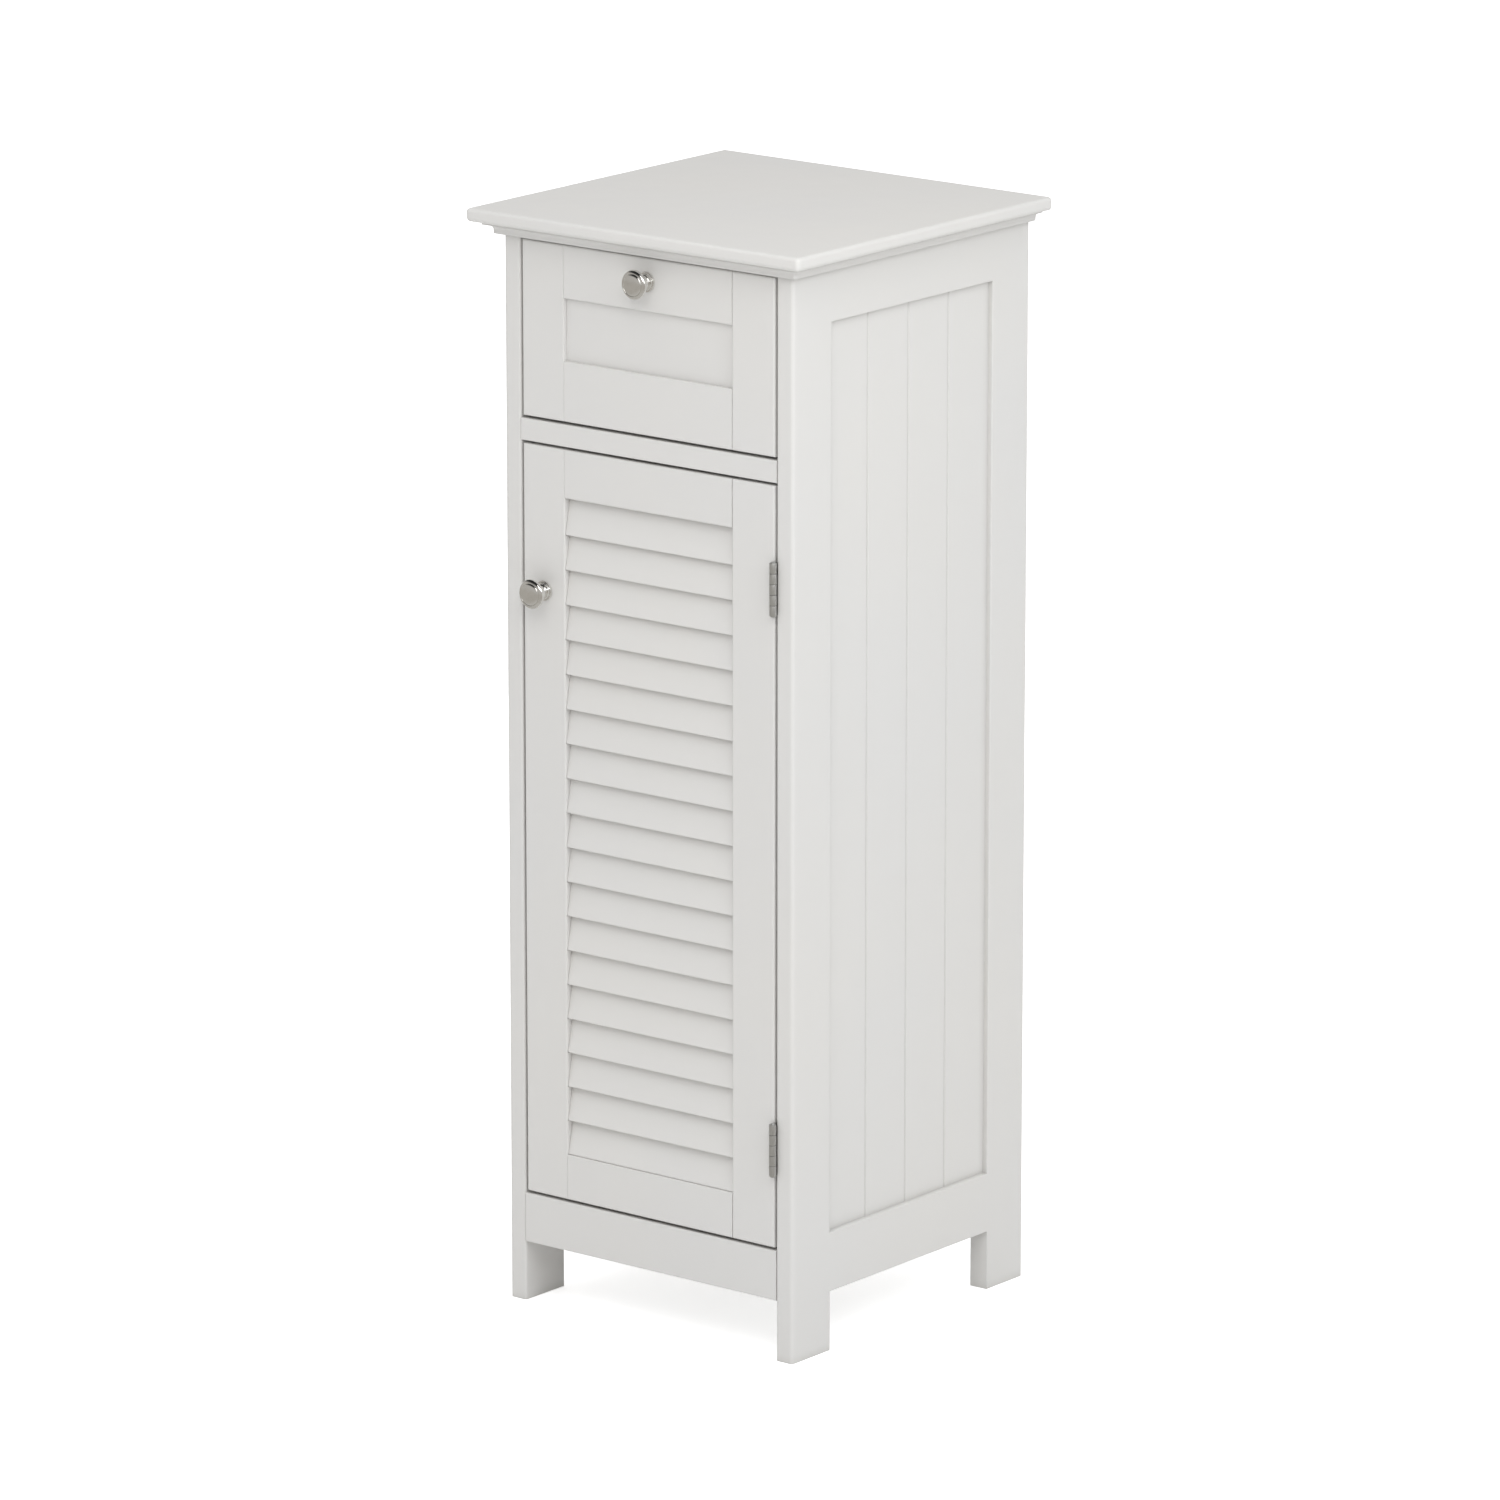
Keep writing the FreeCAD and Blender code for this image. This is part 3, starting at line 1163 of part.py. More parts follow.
make_top_panel()
make_side_panel("left_side_panel", -1)
make_side_panel("right_side_panel", 1)
make_divider()
make_bottom_panel()
make_front_apron()
make_back_panel()
make_shelf()
make_shelf_pins()
make_cam_fittings()
make_dowels()
make_catch()
make_runner("left_drawer_runner", -1)
make_runner("right_drawer_runner", 1)
make_wood_screws()
make_drawer_front()
make_drawer_box()
make_knob("drawer_knob", "0", "Places.knob_drawer_height")
make_knob_screw("drawer_knob_screw", "0", "Places.knob_drawer_height")
make_door()
make_knob("door_knob", "-Places.stile_middle", "Sizes.door_knob_height")
make_knob_screw("door_knob_screw", "-Places.stile_middle", "Sizes.door_knob_height")
make_strike_plate()
make_hinges()
document.recompute()

failed = [item.Label for item in document.Objects if {"Invalid", "Error"} & set(item.State)]
if failed:
    raise RuntimeError(f"these objects failed to compute: {failed}")
for node in nodes:
    if node.Shape.isNull() or not node.Shape.isValid():
        raise RuntimeError(f"{node.Label} has no valid shape")

os.makedirs("parts", exist_ok=True)
for node in nodes:
    node.Shape.exportStep(f"parts/{node.Label}.step")
print(f"wrote {len(nodes)} parts")
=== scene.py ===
import json
import math

import bpy
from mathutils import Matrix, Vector

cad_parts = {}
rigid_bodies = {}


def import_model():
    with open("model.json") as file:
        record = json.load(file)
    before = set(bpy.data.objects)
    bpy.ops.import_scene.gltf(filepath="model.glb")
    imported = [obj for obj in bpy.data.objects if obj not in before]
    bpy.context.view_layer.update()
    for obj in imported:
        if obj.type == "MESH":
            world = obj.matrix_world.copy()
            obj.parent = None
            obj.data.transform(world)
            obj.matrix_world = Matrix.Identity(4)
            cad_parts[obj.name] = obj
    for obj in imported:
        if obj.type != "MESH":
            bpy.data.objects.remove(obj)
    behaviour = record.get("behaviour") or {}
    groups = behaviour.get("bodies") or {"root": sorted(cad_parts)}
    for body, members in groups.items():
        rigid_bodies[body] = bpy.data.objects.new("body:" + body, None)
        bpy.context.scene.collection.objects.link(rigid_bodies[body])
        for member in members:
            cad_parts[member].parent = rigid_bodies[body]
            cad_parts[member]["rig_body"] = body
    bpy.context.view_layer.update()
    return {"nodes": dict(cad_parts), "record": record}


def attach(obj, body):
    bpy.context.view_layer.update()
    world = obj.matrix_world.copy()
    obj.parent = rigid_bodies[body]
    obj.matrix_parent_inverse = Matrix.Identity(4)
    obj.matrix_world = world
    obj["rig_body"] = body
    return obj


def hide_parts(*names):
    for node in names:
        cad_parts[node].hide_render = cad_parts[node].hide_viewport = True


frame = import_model()
nodes = frame["nodes"]
slotOf = {part["node"]: part["material_slot"] for part in frame["record"]["subparts"]}
millimetre = 0.001
print("cabinet frame loaded:", len(nodes), "nodes")

# The studio: a camera, a pale floor, a soft sky that is brightest overhead, and three softboxes.

cameraSet = {
    "place": (4.3848, -5.5197, 2.2137),  # metres, in front and to the right of the cabinet
    "turn": 38.519,                      # degrees round the cabinet
    "tilt": 14.139,                      # degrees down
    "lens": 224.647,                     # millimetres
    "sensor": 36,                        # millimetres across
    "sight": 200,                        # metres, how far it sees
}

floorSet = {
    "width": 80.0,
    "paleTone": (0.93, 0.93, 0.93),
    "mottleTone": (0.90, 0.90, 0.90),
    "mottleScale": 1.5,
    "roughness": 0.85,
    "gloss": 0.1,
    "glow": 0.06,          # light that the floor gives off
    "lift": 0.52,          # how much whiter it looks from the camera than it lights the cabinet
}

skySet = {
    # brightness by how high a ray points: 0 is level and 1 straight up
    "fill": [(0, 0.15), (0.6, 0.76), (1, 1.28)],
    # what polished metal sees by height, from -1 straight down: floor, ground, wall and dark ceiling
    "glints": [(-0.75, (0.51, 0.497, 0.467)), (-0.4, (0.43, 0.41, 0.375)), (-0.12, (0.43, 0.41, 0.375)),
               (0.04, (0.48, 0.465, 0.44)), (0.32, (0.48, 0.465, 0.44)), (0.48, (0.02, 0.02, 0.02))],
}

softboxSets = {
    "frontSoftbox": {"place": (0.8, -1.3, 1.7), "width": 1.0, "watts": 8.4, "tone": (1.0, 0.99, 0.975)},
    "sideSoftbox": {"place": (1.5, -0.4, 1.5), "width": 0.8, "watts": 7.2, "tone": (0.95, 0.98, 1.0)},
    "rearSoftbox": {"place": (-1.4, 1.4, 0.43), "width": 0.8, "watts": 6.0, "tone": (1.0, 1.0, 1.0)},
}
lightTarget = Vector((0.0, 0.0, 0.45))
white = (1, 1, 1, 1)


def clearSelection():
    bpy.ops.object.select_all(action="DESELECT")


def addNode(tree, kind, **settings):
    node = tree.nodes.new(kind)
    for name, value in settings.items():
        setattr(node, name, value)
    return node


def feed(tree, value, socket):
    # Links a socket to another one's output, or gives it a plain value.
    if isinstance(value, bpy.types.NodeSocket):
        tree.links.new(value, socket)
    else:
        socket.default_value = value


def newMaterial(name):
    material = bpy.data.materials.new(name)
    material.use_nodes = True
    tree = material.node_tree
    return material, tree, tree.nodes["Principled BSDF"]


def newGroup(name, inputs, outputs):
    # A shader node group with named sockets, and its two end nodes.
    group = bpy.data.node_groups.new(name, "ShaderNodeTree")
    for label, kind, value in inputs:
        socket = group.interface.new_socket(label, in_out="INPUT", socket_type=kind)
        socket.default_value = value
    for label, kind in outputs:
        group.interface.new_socket(label, in_out="OUTPUT", socket_type=kind)
    return group, addNode(group, "NodeGroupInput"), addNode(group, "NodeGroupOutput")


def useGroup(tree, group, **values):
    # Places a group with its own values: cloudScale=5 sets the socket Cloud Scale.
    node = addNode(tree, "ShaderNodeGroup", node_tree=group)
    for label, value in values.items():
        spaced = "".join(" " + letter if letter.isupper() else letter for letter in label)
        node.inputs[spaced[0].upper() + spaced[1:]].default_value = value
    return node


def mixTones(tree, factor, first, second):
    # Blends two colours; each may be a socket or a plain tone.
    mix = addNode(tree, "ShaderNodeMix", data_type="RGBA")
    for label, tone in (("A", first), ("B", second)):
        feed(tree, (*tone, 1) if isinstance(tone, tuple) else tone, mix.inputs[label])
    tree.links.new(factor, mix.inputs["Factor"])
    return mix.outputs["Result"]


def compute(tree, operation, first, second):
    # One arithmetic node; each value may be a socket or a number.
    node = addNode(tree, "ShaderNodeMath", operation=operation)
    for socket, value in zip(node.inputs, (first, second)):
        feed(tree, value, socket)
    return node.outputs["Value"]


def add(tree, first, second):
    return compute(tree, "ADD", first, second)


def multiply(tree, first, second):
    return compute(tree, "MULTIPLY", first, second)


def spread(tree, value, low, high, newLow=0.0, newHigh=1.0):
    # Stretches the range from low to high over the new range, and holds what lies outside at its ends.
    node = addNode(tree, "ShaderNodeMapRange")
    for label, limit in (("From Min", low), ("From Max", high), ("To Min", newLow), ("To Max", newHigh)):
        node.inputs[label].default_value = limit
    tree.links.new(value, node.inputs["Value"])
    return node.outputs["Result"]


def objectNoise(tree, scale, detail=2.0, distortion=0.0):
    # Noise on Object coordinates.
    place = addNode(tree, "ShaderNodeTexCoord")
    noise = addNode(tree, "ShaderNodeTexNoise")
    tree.links.new(place.outputs["Object"], noise.inputs["Vector"])
    feed(tree, scale, noise.inputs["Scale"])
    noise.inputs["Detail"].default_value = detail
    noise.inputs["Distortion"].default_value = distortion
    return noise.outputs["Fac"]


def makeCamera():
    bpy.ops.object.camera_add(location=cameraSet["place"])
    camera = bpy.context.object
    camera.name = "studioCamera"
    camera.rotation_euler = (math.radians(90 - cameraSet["tilt"]), 0, math.radians(cameraSet["turn"]))
    camera.data.sensor_width = cameraSet["sensor"]
    camera.data.sensor_fit = "HORIZONTAL"
    camera.data.lens = cameraSet["lens"]
    camera.data.clip_end = cameraSet["sight"]
    bpy.context.scene.camera = camera


def makeFloor():
    bpy.ops.mesh.primitive_plane_add(size=floorSet["width"], location=(0, 0, 0))
    floor = bpy.context.object
    floor.name = "studioFloor"
    material, tree, shader = newMaterial("palePaperFloor")
    mottle = objectNoise(tree, floorSet["mottleScale"])
    tone = mixTones(tree, mottle, floorSet["mottleTone"], floorSet["paleTone"])
    tree.links.new(tone, shader.inputs["Base Color"])
    shader.inputs["Roughness"].default_value = floorSet["roughness"]
    shader.inputs["Specular IOR Level"].default_value = floorSet["gloss"]
    path = addNode(tree, "ShaderNodeLightPath")
    lift = multiply(tree, path.outputs["Is Camera Ray"], floorSet["lift"])
    shader.inputs["Emission Color"].default_value = white
    tree.links.new(add(tree, lift, floorSet["glow"]), shader.inputs["Emission Strength"])
    floor.data.materials.append(material)
    floor.visible_glossy = False


def heightRamp(tree, height, stops):
    # Colours by how high a ray points, from -1 straight down to 1 straight up.
    ramp = addNode(tree, "ShaderNodeValToRGB")
    points = ramp.color_ramp.elements
    while len(points) < len(stops):
        points.new(0.5)
    for point, (position, tone) in zip(points, stops):
        point.position = (position + 1) / 2
        point.color = (*tone, 1)
    tree.links.new(height, ramp.inputs["Fac"])
    return ramp.outputs["Color"]


def addBackground(tree, colour, strength=1.0):
    background = addNode(tree, "ShaderNodeBackground")
    feed(tree, colour, background.inputs["Color"])
    background.inputs["Strength"].default_value = strength
    return background.outputs["Background"]


def mixShaders(tree, factor, first, second):
    mix = addNode(tree, "ShaderNodeMixShader")
    for socket, value in zip(mix.inputs, (factor, first, second)):
        tree.links.new(value, socket)
    return mix.outputs["Shader"]


def makeSky():
    world = bpy.data.worlds.new("studioSky")
    bpy.context.scene.world = world
    world.use_nodes = True
    tree = world.node_tree
    tree.nodes.clear()
    output = addNode(tree, "ShaderNodeOutputWorld")
    path = addNode(tree, "ShaderNodeLightPath")
    place = addNode(tree, "ShaderNodeTexCoord")
    split = addNode(tree, "ShaderNodeSeparateXYZ")
    tree.links.new(place.outputs["Generated"], split.inputs["Vector"])
    height = spread(tree, split.outputs["Z"], -1, 1)
    overhead = skySet["fill"][-1][1]
    greys = [(position, (brightness / overhead,) * 3) for position, brightness in skySet["fill"]]
    fill = addBackground(tree, heightRamp(tree, height, greys), overhead)
    glint = addBackground(tree, heightRamp(tree, height, skySet["glints"]))
    surface = mixShaders(tree, path.outputs["Is Glossy Ray"], fill, glint)
    surface = mixShaders(tree, path.outputs["Is Camera Ray"], surface, addBackground(tree, white))
    tree.links.new(surface, output.inputs["Surface"])


def makeLamps():
    for name, values in softboxSets.items():
        bpy.ops.object.light_add(type="AREA", location=values["place"])
        softbox = bpy.context.object
        softbox.name = name
        softbox.data.shape = "SQUARE"
        softbox.data.size = values["width"]
        softbox.data.energy = values["watts"]
        softbox.data.color = values["tone"]
        aim = lightTarget - Vector(values["place"])
        softbox.rotation_euler = aim.to_track_quat("-Z", "Y").to_euler()


clearSelection()
makeCamera()
makeFloor()
makeSky()
makeLamps()
bpy.context.scene.view_settings.view_transform = "Standard"
print("studio ready")

# Effects that several finishes share. Each is one node group, placed with its own values.
# Noise runs from 0 to 1, and a pair of numbers is the part of it that shows.

numberSocket = "NodeSocketFloat"
colourSocket = "NodeSocketColor"
vectorSocket = "NodeSocketVector"

coatSet = {
    "swellScale": 0.06,       # as a share of the ripple's scale
    "rippleHeight": 0.5,      # as a share of the swell's height
    "nibSize": 0.045,         # as a share of the distance between nibs
    "driftSpan": (0.3, 0.7),
}


def makeSprayedCoat():
    # The fine ripple of sprayed paint, a slow swell under it, and a few nibs of dust caught in it.
    group, entry, leave = newGroup("sprayedCoat", [
        ("Ripple Scale", numberSocket, 700.0), ("Nib Scale", numberSocket, 60.0),
        ("Roughness", numberSocket, 0.4), ("Roughness Drift", numberSocket, 0.05)],
        [("Height", numberSocket), ("Roughness", numberSocket)])
    rippleScale = entry.outputs["Ripple Scale"]
    ripple = objectNoise(group, rippleScale)
    swell = objectNoise(group, multiply(group, rippleScale, coatSet["swellScale"]))
    place = addNode(group, "ShaderNodeTexCoord")
    nibs = addNode(group, "ShaderNodeTexVoronoi")
    group.links.new(place.outputs["Object"], nibs.inputs["Vector"])
    group.links.new(entry.outputs["Nib Scale"], nibs.inputs["Scale"])
    speck = spread(group, nibs.outputs["Distance"], coatSet["nibSize"], 0.0)
    height = add(group, multiply(group, ripple, coatSet["rippleHeight"]), swell)
    group.links.new(add(group, height, speck), leave.inputs["Height"])
    wander = spread(group, swell, *coatSet["driftSpan"], -1, 1)
    drift = multiply(group, wander, entry.outputs["Roughness Drift"])
    group.links.new(add(group, entry.outputs["Roughness"], drift), leave.inputs["Roughness"])
    return group


driftSet = {"detail": 3, "cloudSpan": (0.35, 0.65)}


def makeToneDrift():
    # A colour that wanders slowly between two near tones over the surface.
    group, entry, leave = newGroup("toneDrift", [
        ("First Tone", colourSocket, (0.7, 0.7, 0.7, 1)),
        ("Second Tone", colourSocket, (0.6, 0.6, 0.6, 1)), ("Cloud Scale", numberSocket, 5.0)],
        [("Tone", colourSocket)])
    clouds = objectNoise(group, entry.outputs["Cloud Scale"], driftSet["detail"])
    factor = spread(group, clouds, *driftSet["cloudSpan"])
    tone = mixTones(group, factor, entry.outputs["First Tone"], entry.outputs["Second Tone"])
    group.links.new(tone, leave.inputs["Tone"])
    return group


wearSet = {
    "samples": 4,
    "bendSpan": (0.985, 0.85),  # how well the eased normal agrees with the true one: flat, and full edge
    "breakSpan": (0.3, 0.6),
}


def makeEdgeWearAndHighlight():
    # Finds outer edges: a broken mask where the finish rubs thin, which the paint also lightens as a painted
    # highlight, and a normal that eases a hard arris.
    group, entry, leave = newGroup("edgeWear", [
        ("Width", numberSocket, 0.001), ("Break Scale", numberSocket, 80.0)],
        [("Edge", numberSocket), ("Eased Normal", vectorSocket)])
    eased = addNode(group, "ShaderNodeBevel", samples=wearSet["samples"])
    surface = addNode(group, "ShaderNodeNewGeometry")
    agree = addNode(group, "ShaderNodeVectorMath", operation="DOT_PRODUCT")
    breaks = objectNoise(group, entry.outputs["Break Scale"])
    group.links.new(entry.outputs["Width"], eased.inputs["Radius"])
    group.links.new(eased.outputs["Normal"], agree.inputs[0])
    group.links.new(surface.outputs["Normal"], agree.inputs[1])
    bend = spread(group, agree.outputs["Value"], *wearSet["bendSpan"])
    mask = multiply(group, bend, spread(group, breaks, *wearSet["breakSpan"]))
    group.links.new(mask, leave.inputs["Edge"])
    group.links.new(eased.outputs["Normal"], leave.inputs["Eased Normal"])
    return group


cornerSet = {"samples": 6}


def makeCornerShade():
    # Finds inner corners and narrow gaps by occlusion, where the finishes paint shade.
    group, entry, leave = newGroup("cornerShade", [
        ("Reach", numberSocket, 0.006), ("Strength", numberSocket, 1.0)],
        [("Corner", numberSocket)])
    hollow = addNode(group, "ShaderNodeAmbientOcclusion", samples=cornerSet["samples"])
    group.links.new(entry.outputs["Reach"], hollow.inputs["Distance"])
    closed = compute(group, "SUBTRACT", 1.0, hollow.outputs["AO"])
    group.links.new(multiply(group, closed, entry.outputs["Strength"]), leave.inputs["Corner"])
    return group


dustSet = {
    "detail": 4,
    "levelSpan": (0.7, 0.98),  # how far a face points up: none, and full dust
    "cloudSpan": (0.35, 0.75),
}


def makeRestingDust():
    # A thin veil that settles on level faces.
    group, entry, leave = newGroup("restingDust", [("Cloud Scale", numberSocket, 14.0)],
                                   [("Dust", numberSocket)])
    surface = addNode(group, "ShaderNodeNewGeometry")
    split = addNode(group, "ShaderNodeSeparateXYZ")
    clouds = objectNoise(group, entry.outputs["Cloud Scale"], dustSet["detail"])
    group.links.new(surface.outputs["Normal"], split.inputs["Vector"])
    level = spread(group, split.outputs["Z"], *dustSet["levelSpan"])
    veil = multiply(group, level, spread(group, clouds, *dustSet["cloudSpan"]))
    group.links.new(veil, leave.inputs["Dust"])
    return group


lineSet = {"scale": 1, "detail": 3, "span": (0.3, 0.7)}


def makeDrawnLines():
    # Long fine lines, as of brushing or grain. Line Scale is how fast they change along X, Y and Z.
    group, entry, leave = newGroup("drawnLines", [("Line Scale", vectorSocket, (4000.0, 4000.0, 60.0))],
                                   [("Lines", numberSocket)])
    place = addNode(group, "ShaderNodeTexCoord")
    stretch = addNode(group, "ShaderNodeVectorMath", operation="MULTIPLY")
    noise = addNode(group, "ShaderNodeTexNoise")
    noise.inputs["Scale"].default_value = lineSet["scale"]
    noise.inputs["Detail"].default_value = lineSet["detail"]
    group.links.new(place.outputs["Object"], stretch.inputs[0])
    group.links.new(entry.outputs["Line Scale"], stretch.inputs[1])
    group.links.new(stretch.outputs["Vector"], noise.inputs["Vector"])
    group.links.new(spread(group, noise.outputs["Fac"], *lineSet["span"]), leave.inputs["Lines"])
    return group


hazeSet = {
    "detail": 4,
    "smudgeSpan": (0.4, 0.7),
    "hairScale": 5,            # as a multiple of the smudges' scale
    "hairTwist": 2,
    "hairSpan": (0.62, 0.66),
    "hairStrength": 0.35,
}


def makeHandHaze():
    # Soft smudges and a few hairline marks on polished metal.
    group, entry, leave = newGroup("handHaze", [("Smudge Scale", numberSocket, 120.0)],
                                   [("Haze", numberSocket)])
    smudgeScale = entry.outputs["Smudge Scale"]
    smudges = objectNoise(group, smudgeScale, hazeSet["detail"])
    hairScale = multiply(group, smudgeScale, hazeSet["hairScale"])
    hairs = objectNoise(group, hairScale, distortion=hazeSet["hairTwist"])
    cloud = spread(group, smudges, *hazeSet["smudgeSpan"])
    hair = multiply(group, spread(group, hairs, *hazeSet["hairSpan"]), hazeSet["hairStrength"])
    group.links.new(add(group, cloud, hair), leave.inputs["Haze"])
    return group


sprayedCoat = makeSprayedCoat()
toneDrift = makeToneDrift()
edgeWear = makeEdgeWearAndHighlight()
cornerShade = makeCornerShade()
restingDust = makeRestingDust()
drawnLines = makeDrawnLines()
handHaze = makeHandHaze()
print("shared effects built")

# The finishes. Widths, depths and reaches are metres.

paintSet = {
    "warmTone": (0.738, 0.727, 0.706),
    "coolTone": (0.728, 0.722, 0.710),
    "roughness": 0.32,       # less drift and polish, this stays above 0.275: below it, patches show
    "roughnessDrift": 0.03,
    "ripple": 0.00004,       # how deep the sprayed ripple is
    "rippleStrength": 0.6,
    "edgeWidth": 0.0009,
    # edges: paint rubbed thin, and a painted highlight on the arrises
    "edgeTone": (0.83, 0.825, 0.815),
    "edgeThinningAndHighlight": 0.5,     # how much of the edge tone shows: paint rubbed thin and a painted highlight
    "edgePolish": 0.015,     # how much smoother a rubbed edge is
    # painted shade: inner corners and narrow gaps are darkened towards this tone
    "cornerShadeTone": (0.50, 0.485, 0.46),
    "cornerReach": 0.007,    # how far the painted shade reaches out of an inner corner
    "cornerStrength": 0.62,
    "dustTone": (0.70, 0.695, 0.685),
    "dustVeil": 0.12,        # how much of the dust tone shows
    "dustRoughness": 0.06,   # how much rougher a dusty face is
}

# The louvres: a copy with deeper, wider painted shade in their corners, and a touch lighter base to balance
# it.
louvrePaintSet = dict(paintSet, warmTone=(0.742, 0.731, 0.710), coolTone=(0.732, 0.726, 0.714),
                      cornerShadeTone=(0.44, 0.415, 0.375), cornerReach=0.030, cornerStrength=0.45)

# The stiles and the drawer's front: a copy with little painted shade, so their inner faces and the gaps
# beside them stay light.
stilePaintSet = dict(paintSet, cornerStrength=0.12)

drawerPaintSet = dict(paintSet, warmTone=(0.76, 0.75, 0.73), coolTone=(0.74, 0.735, 0.72),
                      roughness=0.5, ripple=0.00003)

plasticSet = dict(paintSet, warmTone=(0.80, 0.80, 0.79), coolTone=(0.78, 0.78, 0.775),
                  roughness=0.44, ripple=0.00002)

chromeSet = {
    "brightTone": (0.83, 0.82, 0.80),
    "hazeTone": (0.72, 0.71, 0.68),
    "hazeTint": 0.5,         # how much of the haze tone shows
    "clean": 0.05,           # roughness where it is clean
    "hazy": 0.14,            # roughness where it was touched
}

# painted shade in the corners and seams of the metal fittings
metalCornerShadeTone = (0.16, 0.155, 0.15)

nickelSet = {
    "brightTone": (0.66, 0.66, 0.65),
    "dullTone": (0.54, 0.54, 0.53),
    "roughness": 0.42,
    "roughnessDrift": (0.07, -0.05),  # on dull lines and on bright ones
    "lines": (5000.0, 5000.0, 90.0),
    "lineDepth": 0.00002,
    "lineStrength": 0.3,
    "edgeWidth": 0.0004,
    "edgeBreaks": 400.0,
    "cornerReach": 0.0015,
    "cornerStrength": 0.9,
}

zincSet = {
    "brightTone": (0.56, 0.56, 0.57),
    "dullTone": (0.44, 0.44, 0.46),
    "toneScale": 350.0,
    "roughness": 0.46,
    "roughnessDrift": 0.1,
    "rippleScale": 2200.0,
    "nibScale": 500.0,
    "ripple": 0.00004,
    "rippleStrength": 0.5,
    "cornerReach": 0.002,
    "cornerStrength": 0.8,
}

beechSet = {
    "paleTone": (0.62, 0.44, 0.27),
    "darkTone": (0.47, 0.31, 0.17),
    "roughness": 0.62,
    "roughnessDrift": (0.1, -0.05),   # in dark grain and in pale
    "grain": (40.0, 1500.0, 1500.0),
    "grainDepth": 0.0001,
    "grainStrength": 0.4,
    "flecks": (260.0, 2600.0, 2600.0),
    "fleckSpan": (0.75, 1.0),
    "fleckTint": 0.6,
}


def addBump(tree, shader, height, strength, depth, normal=None):
    bump = addNode(tree, "ShaderNodeBump")
    bump.inputs["Strength"].default_value = strength
    bump.inputs["Distance"].default_value = depth
    tree.links.new(height, bump.inputs["Height"])
    if normal is not None:
        tree.links.new(normal, bump.inputs["Normal"])
    tree.links.new(bump.outputs["Normal"], shader.inputs["Normal"])


def addLineRoughness(tree, shader, lines, values):
    # Roughness that follows the lines of brushing or grain.
    ends = [values["roughness"] + drift for drift in values["roughnessDrift"]]
    tree.links.new(spread(tree, lines, 0, 1, *ends), shader.inputs["Roughness"])


def makePaint(name, values):
    material, tree, shader = newMaterial(name)
    tone = useGroup(tree, toneDrift, firstTone=(*values["warmTone"], 1), secondTone=(*values["coolTone"], 1))
    coat = useGroup(tree, sprayedCoat, roughness=values["roughness"], roughnessDrift=values["roughnessDrift"])
    wear = useGroup(tree, edgeWear, width=values["edgeWidth"])
    corner = useGroup(tree, cornerShade, reach=values["cornerReach"], strength=values["cornerStrength"])
    dust = useGroup(tree, restingDust).outputs["Dust"]
    edge = wear.outputs["Edge"]
    veil = multiply(tree, dust, values["dustVeil"])
    # Edges lightened: partly paint rubbed thin, partly a painted highlight.
    thinAndHighlight = multiply(tree, edge, values["edgeThinningAndHighlight"])
    colour = mixTones(tree, veil, tone.outputs["Tone"], values["dustTone"])
    colour = mixTones(tree, thinAndHighlight, colour, values["edgeTone"])
    # Painted shade: inner corners and narrow gaps darkened towards the corner shade tone.
    colour = mixTones(tree, corner.outputs["Corner"], colour, values["cornerShadeTone"])
    tree.links.new(colour, shader.inputs["Base Color"])
    rough = add(tree, coat.outputs["Roughness"], multiply(tree, dust, values["dustRoughness"]))
    rough = compute(tree, "SUBTRACT", rough, multiply(tree, edge, values["edgePolish"]))
    tree.links.new(rough, shader.inputs["Roughness"])
    addBump(tree, shader, coat.outputs["Height"], values["rippleStrength"], values["ripple"],
            wear.outputs["Eased Normal"])
    return material


def makeChrome():
    material, tree, shader = newMaterial("polishedChrome")
    haze = useGroup(tree, handHaze).outputs["Haze"]
    marks = spread(tree, haze, 0, 1, 0, chromeSet["hazeTint"])
    colour = mixTones(tree, marks, chromeSet["brightTone"], chromeSet["hazeTone"])
    tree.links.new(colour, shader.inputs["Base Color"])
    rough = spread(tree, haze, 0, 1, chromeSet["clean"], chromeSet["hazy"])
    tree.links.new(rough, shader.inputs["Roughness"])
    shader.inputs["Metallic"].default_value = 1
    return material


def makeNickel():
    material, tree, shader = newMaterial("brushedNickel")
    lines = useGroup(tree, drawnLines, lineScale=nickelSet["lines"]).outputs["Lines"]
    wear = useGroup(tree, edgeWear, width=nickelSet["edgeWidth"], breakScale=nickelSet["edgeBreaks"])
    corner = useGroup(tree, cornerShade, reach=nickelSet["cornerReach"], strength=nickelSet["cornerStrength"])
    colour = mixTones(tree, lines, nickelSet["dullTone"], nickelSet["brightTone"])
    colour = mixTones(tree, wear.outputs["Edge"], colour, nickelSet["brightTone"])
    # Painted shade in the corners and seams.
    colour = mixTones(tree, corner.outputs["Corner"], colour, metalCornerShadeTone)
    tree.links.new(colour, shader.inputs["Base Color"])
    addLineRoughness(tree, shader, lines, nickelSet)
    shader.inputs["Metallic"].default_value = 1
    addBump(tree, shader, lines, nickelSet["lineStrength"], nickelSet["lineDepth"],
            wear.outputs["Eased Normal"])
    return material


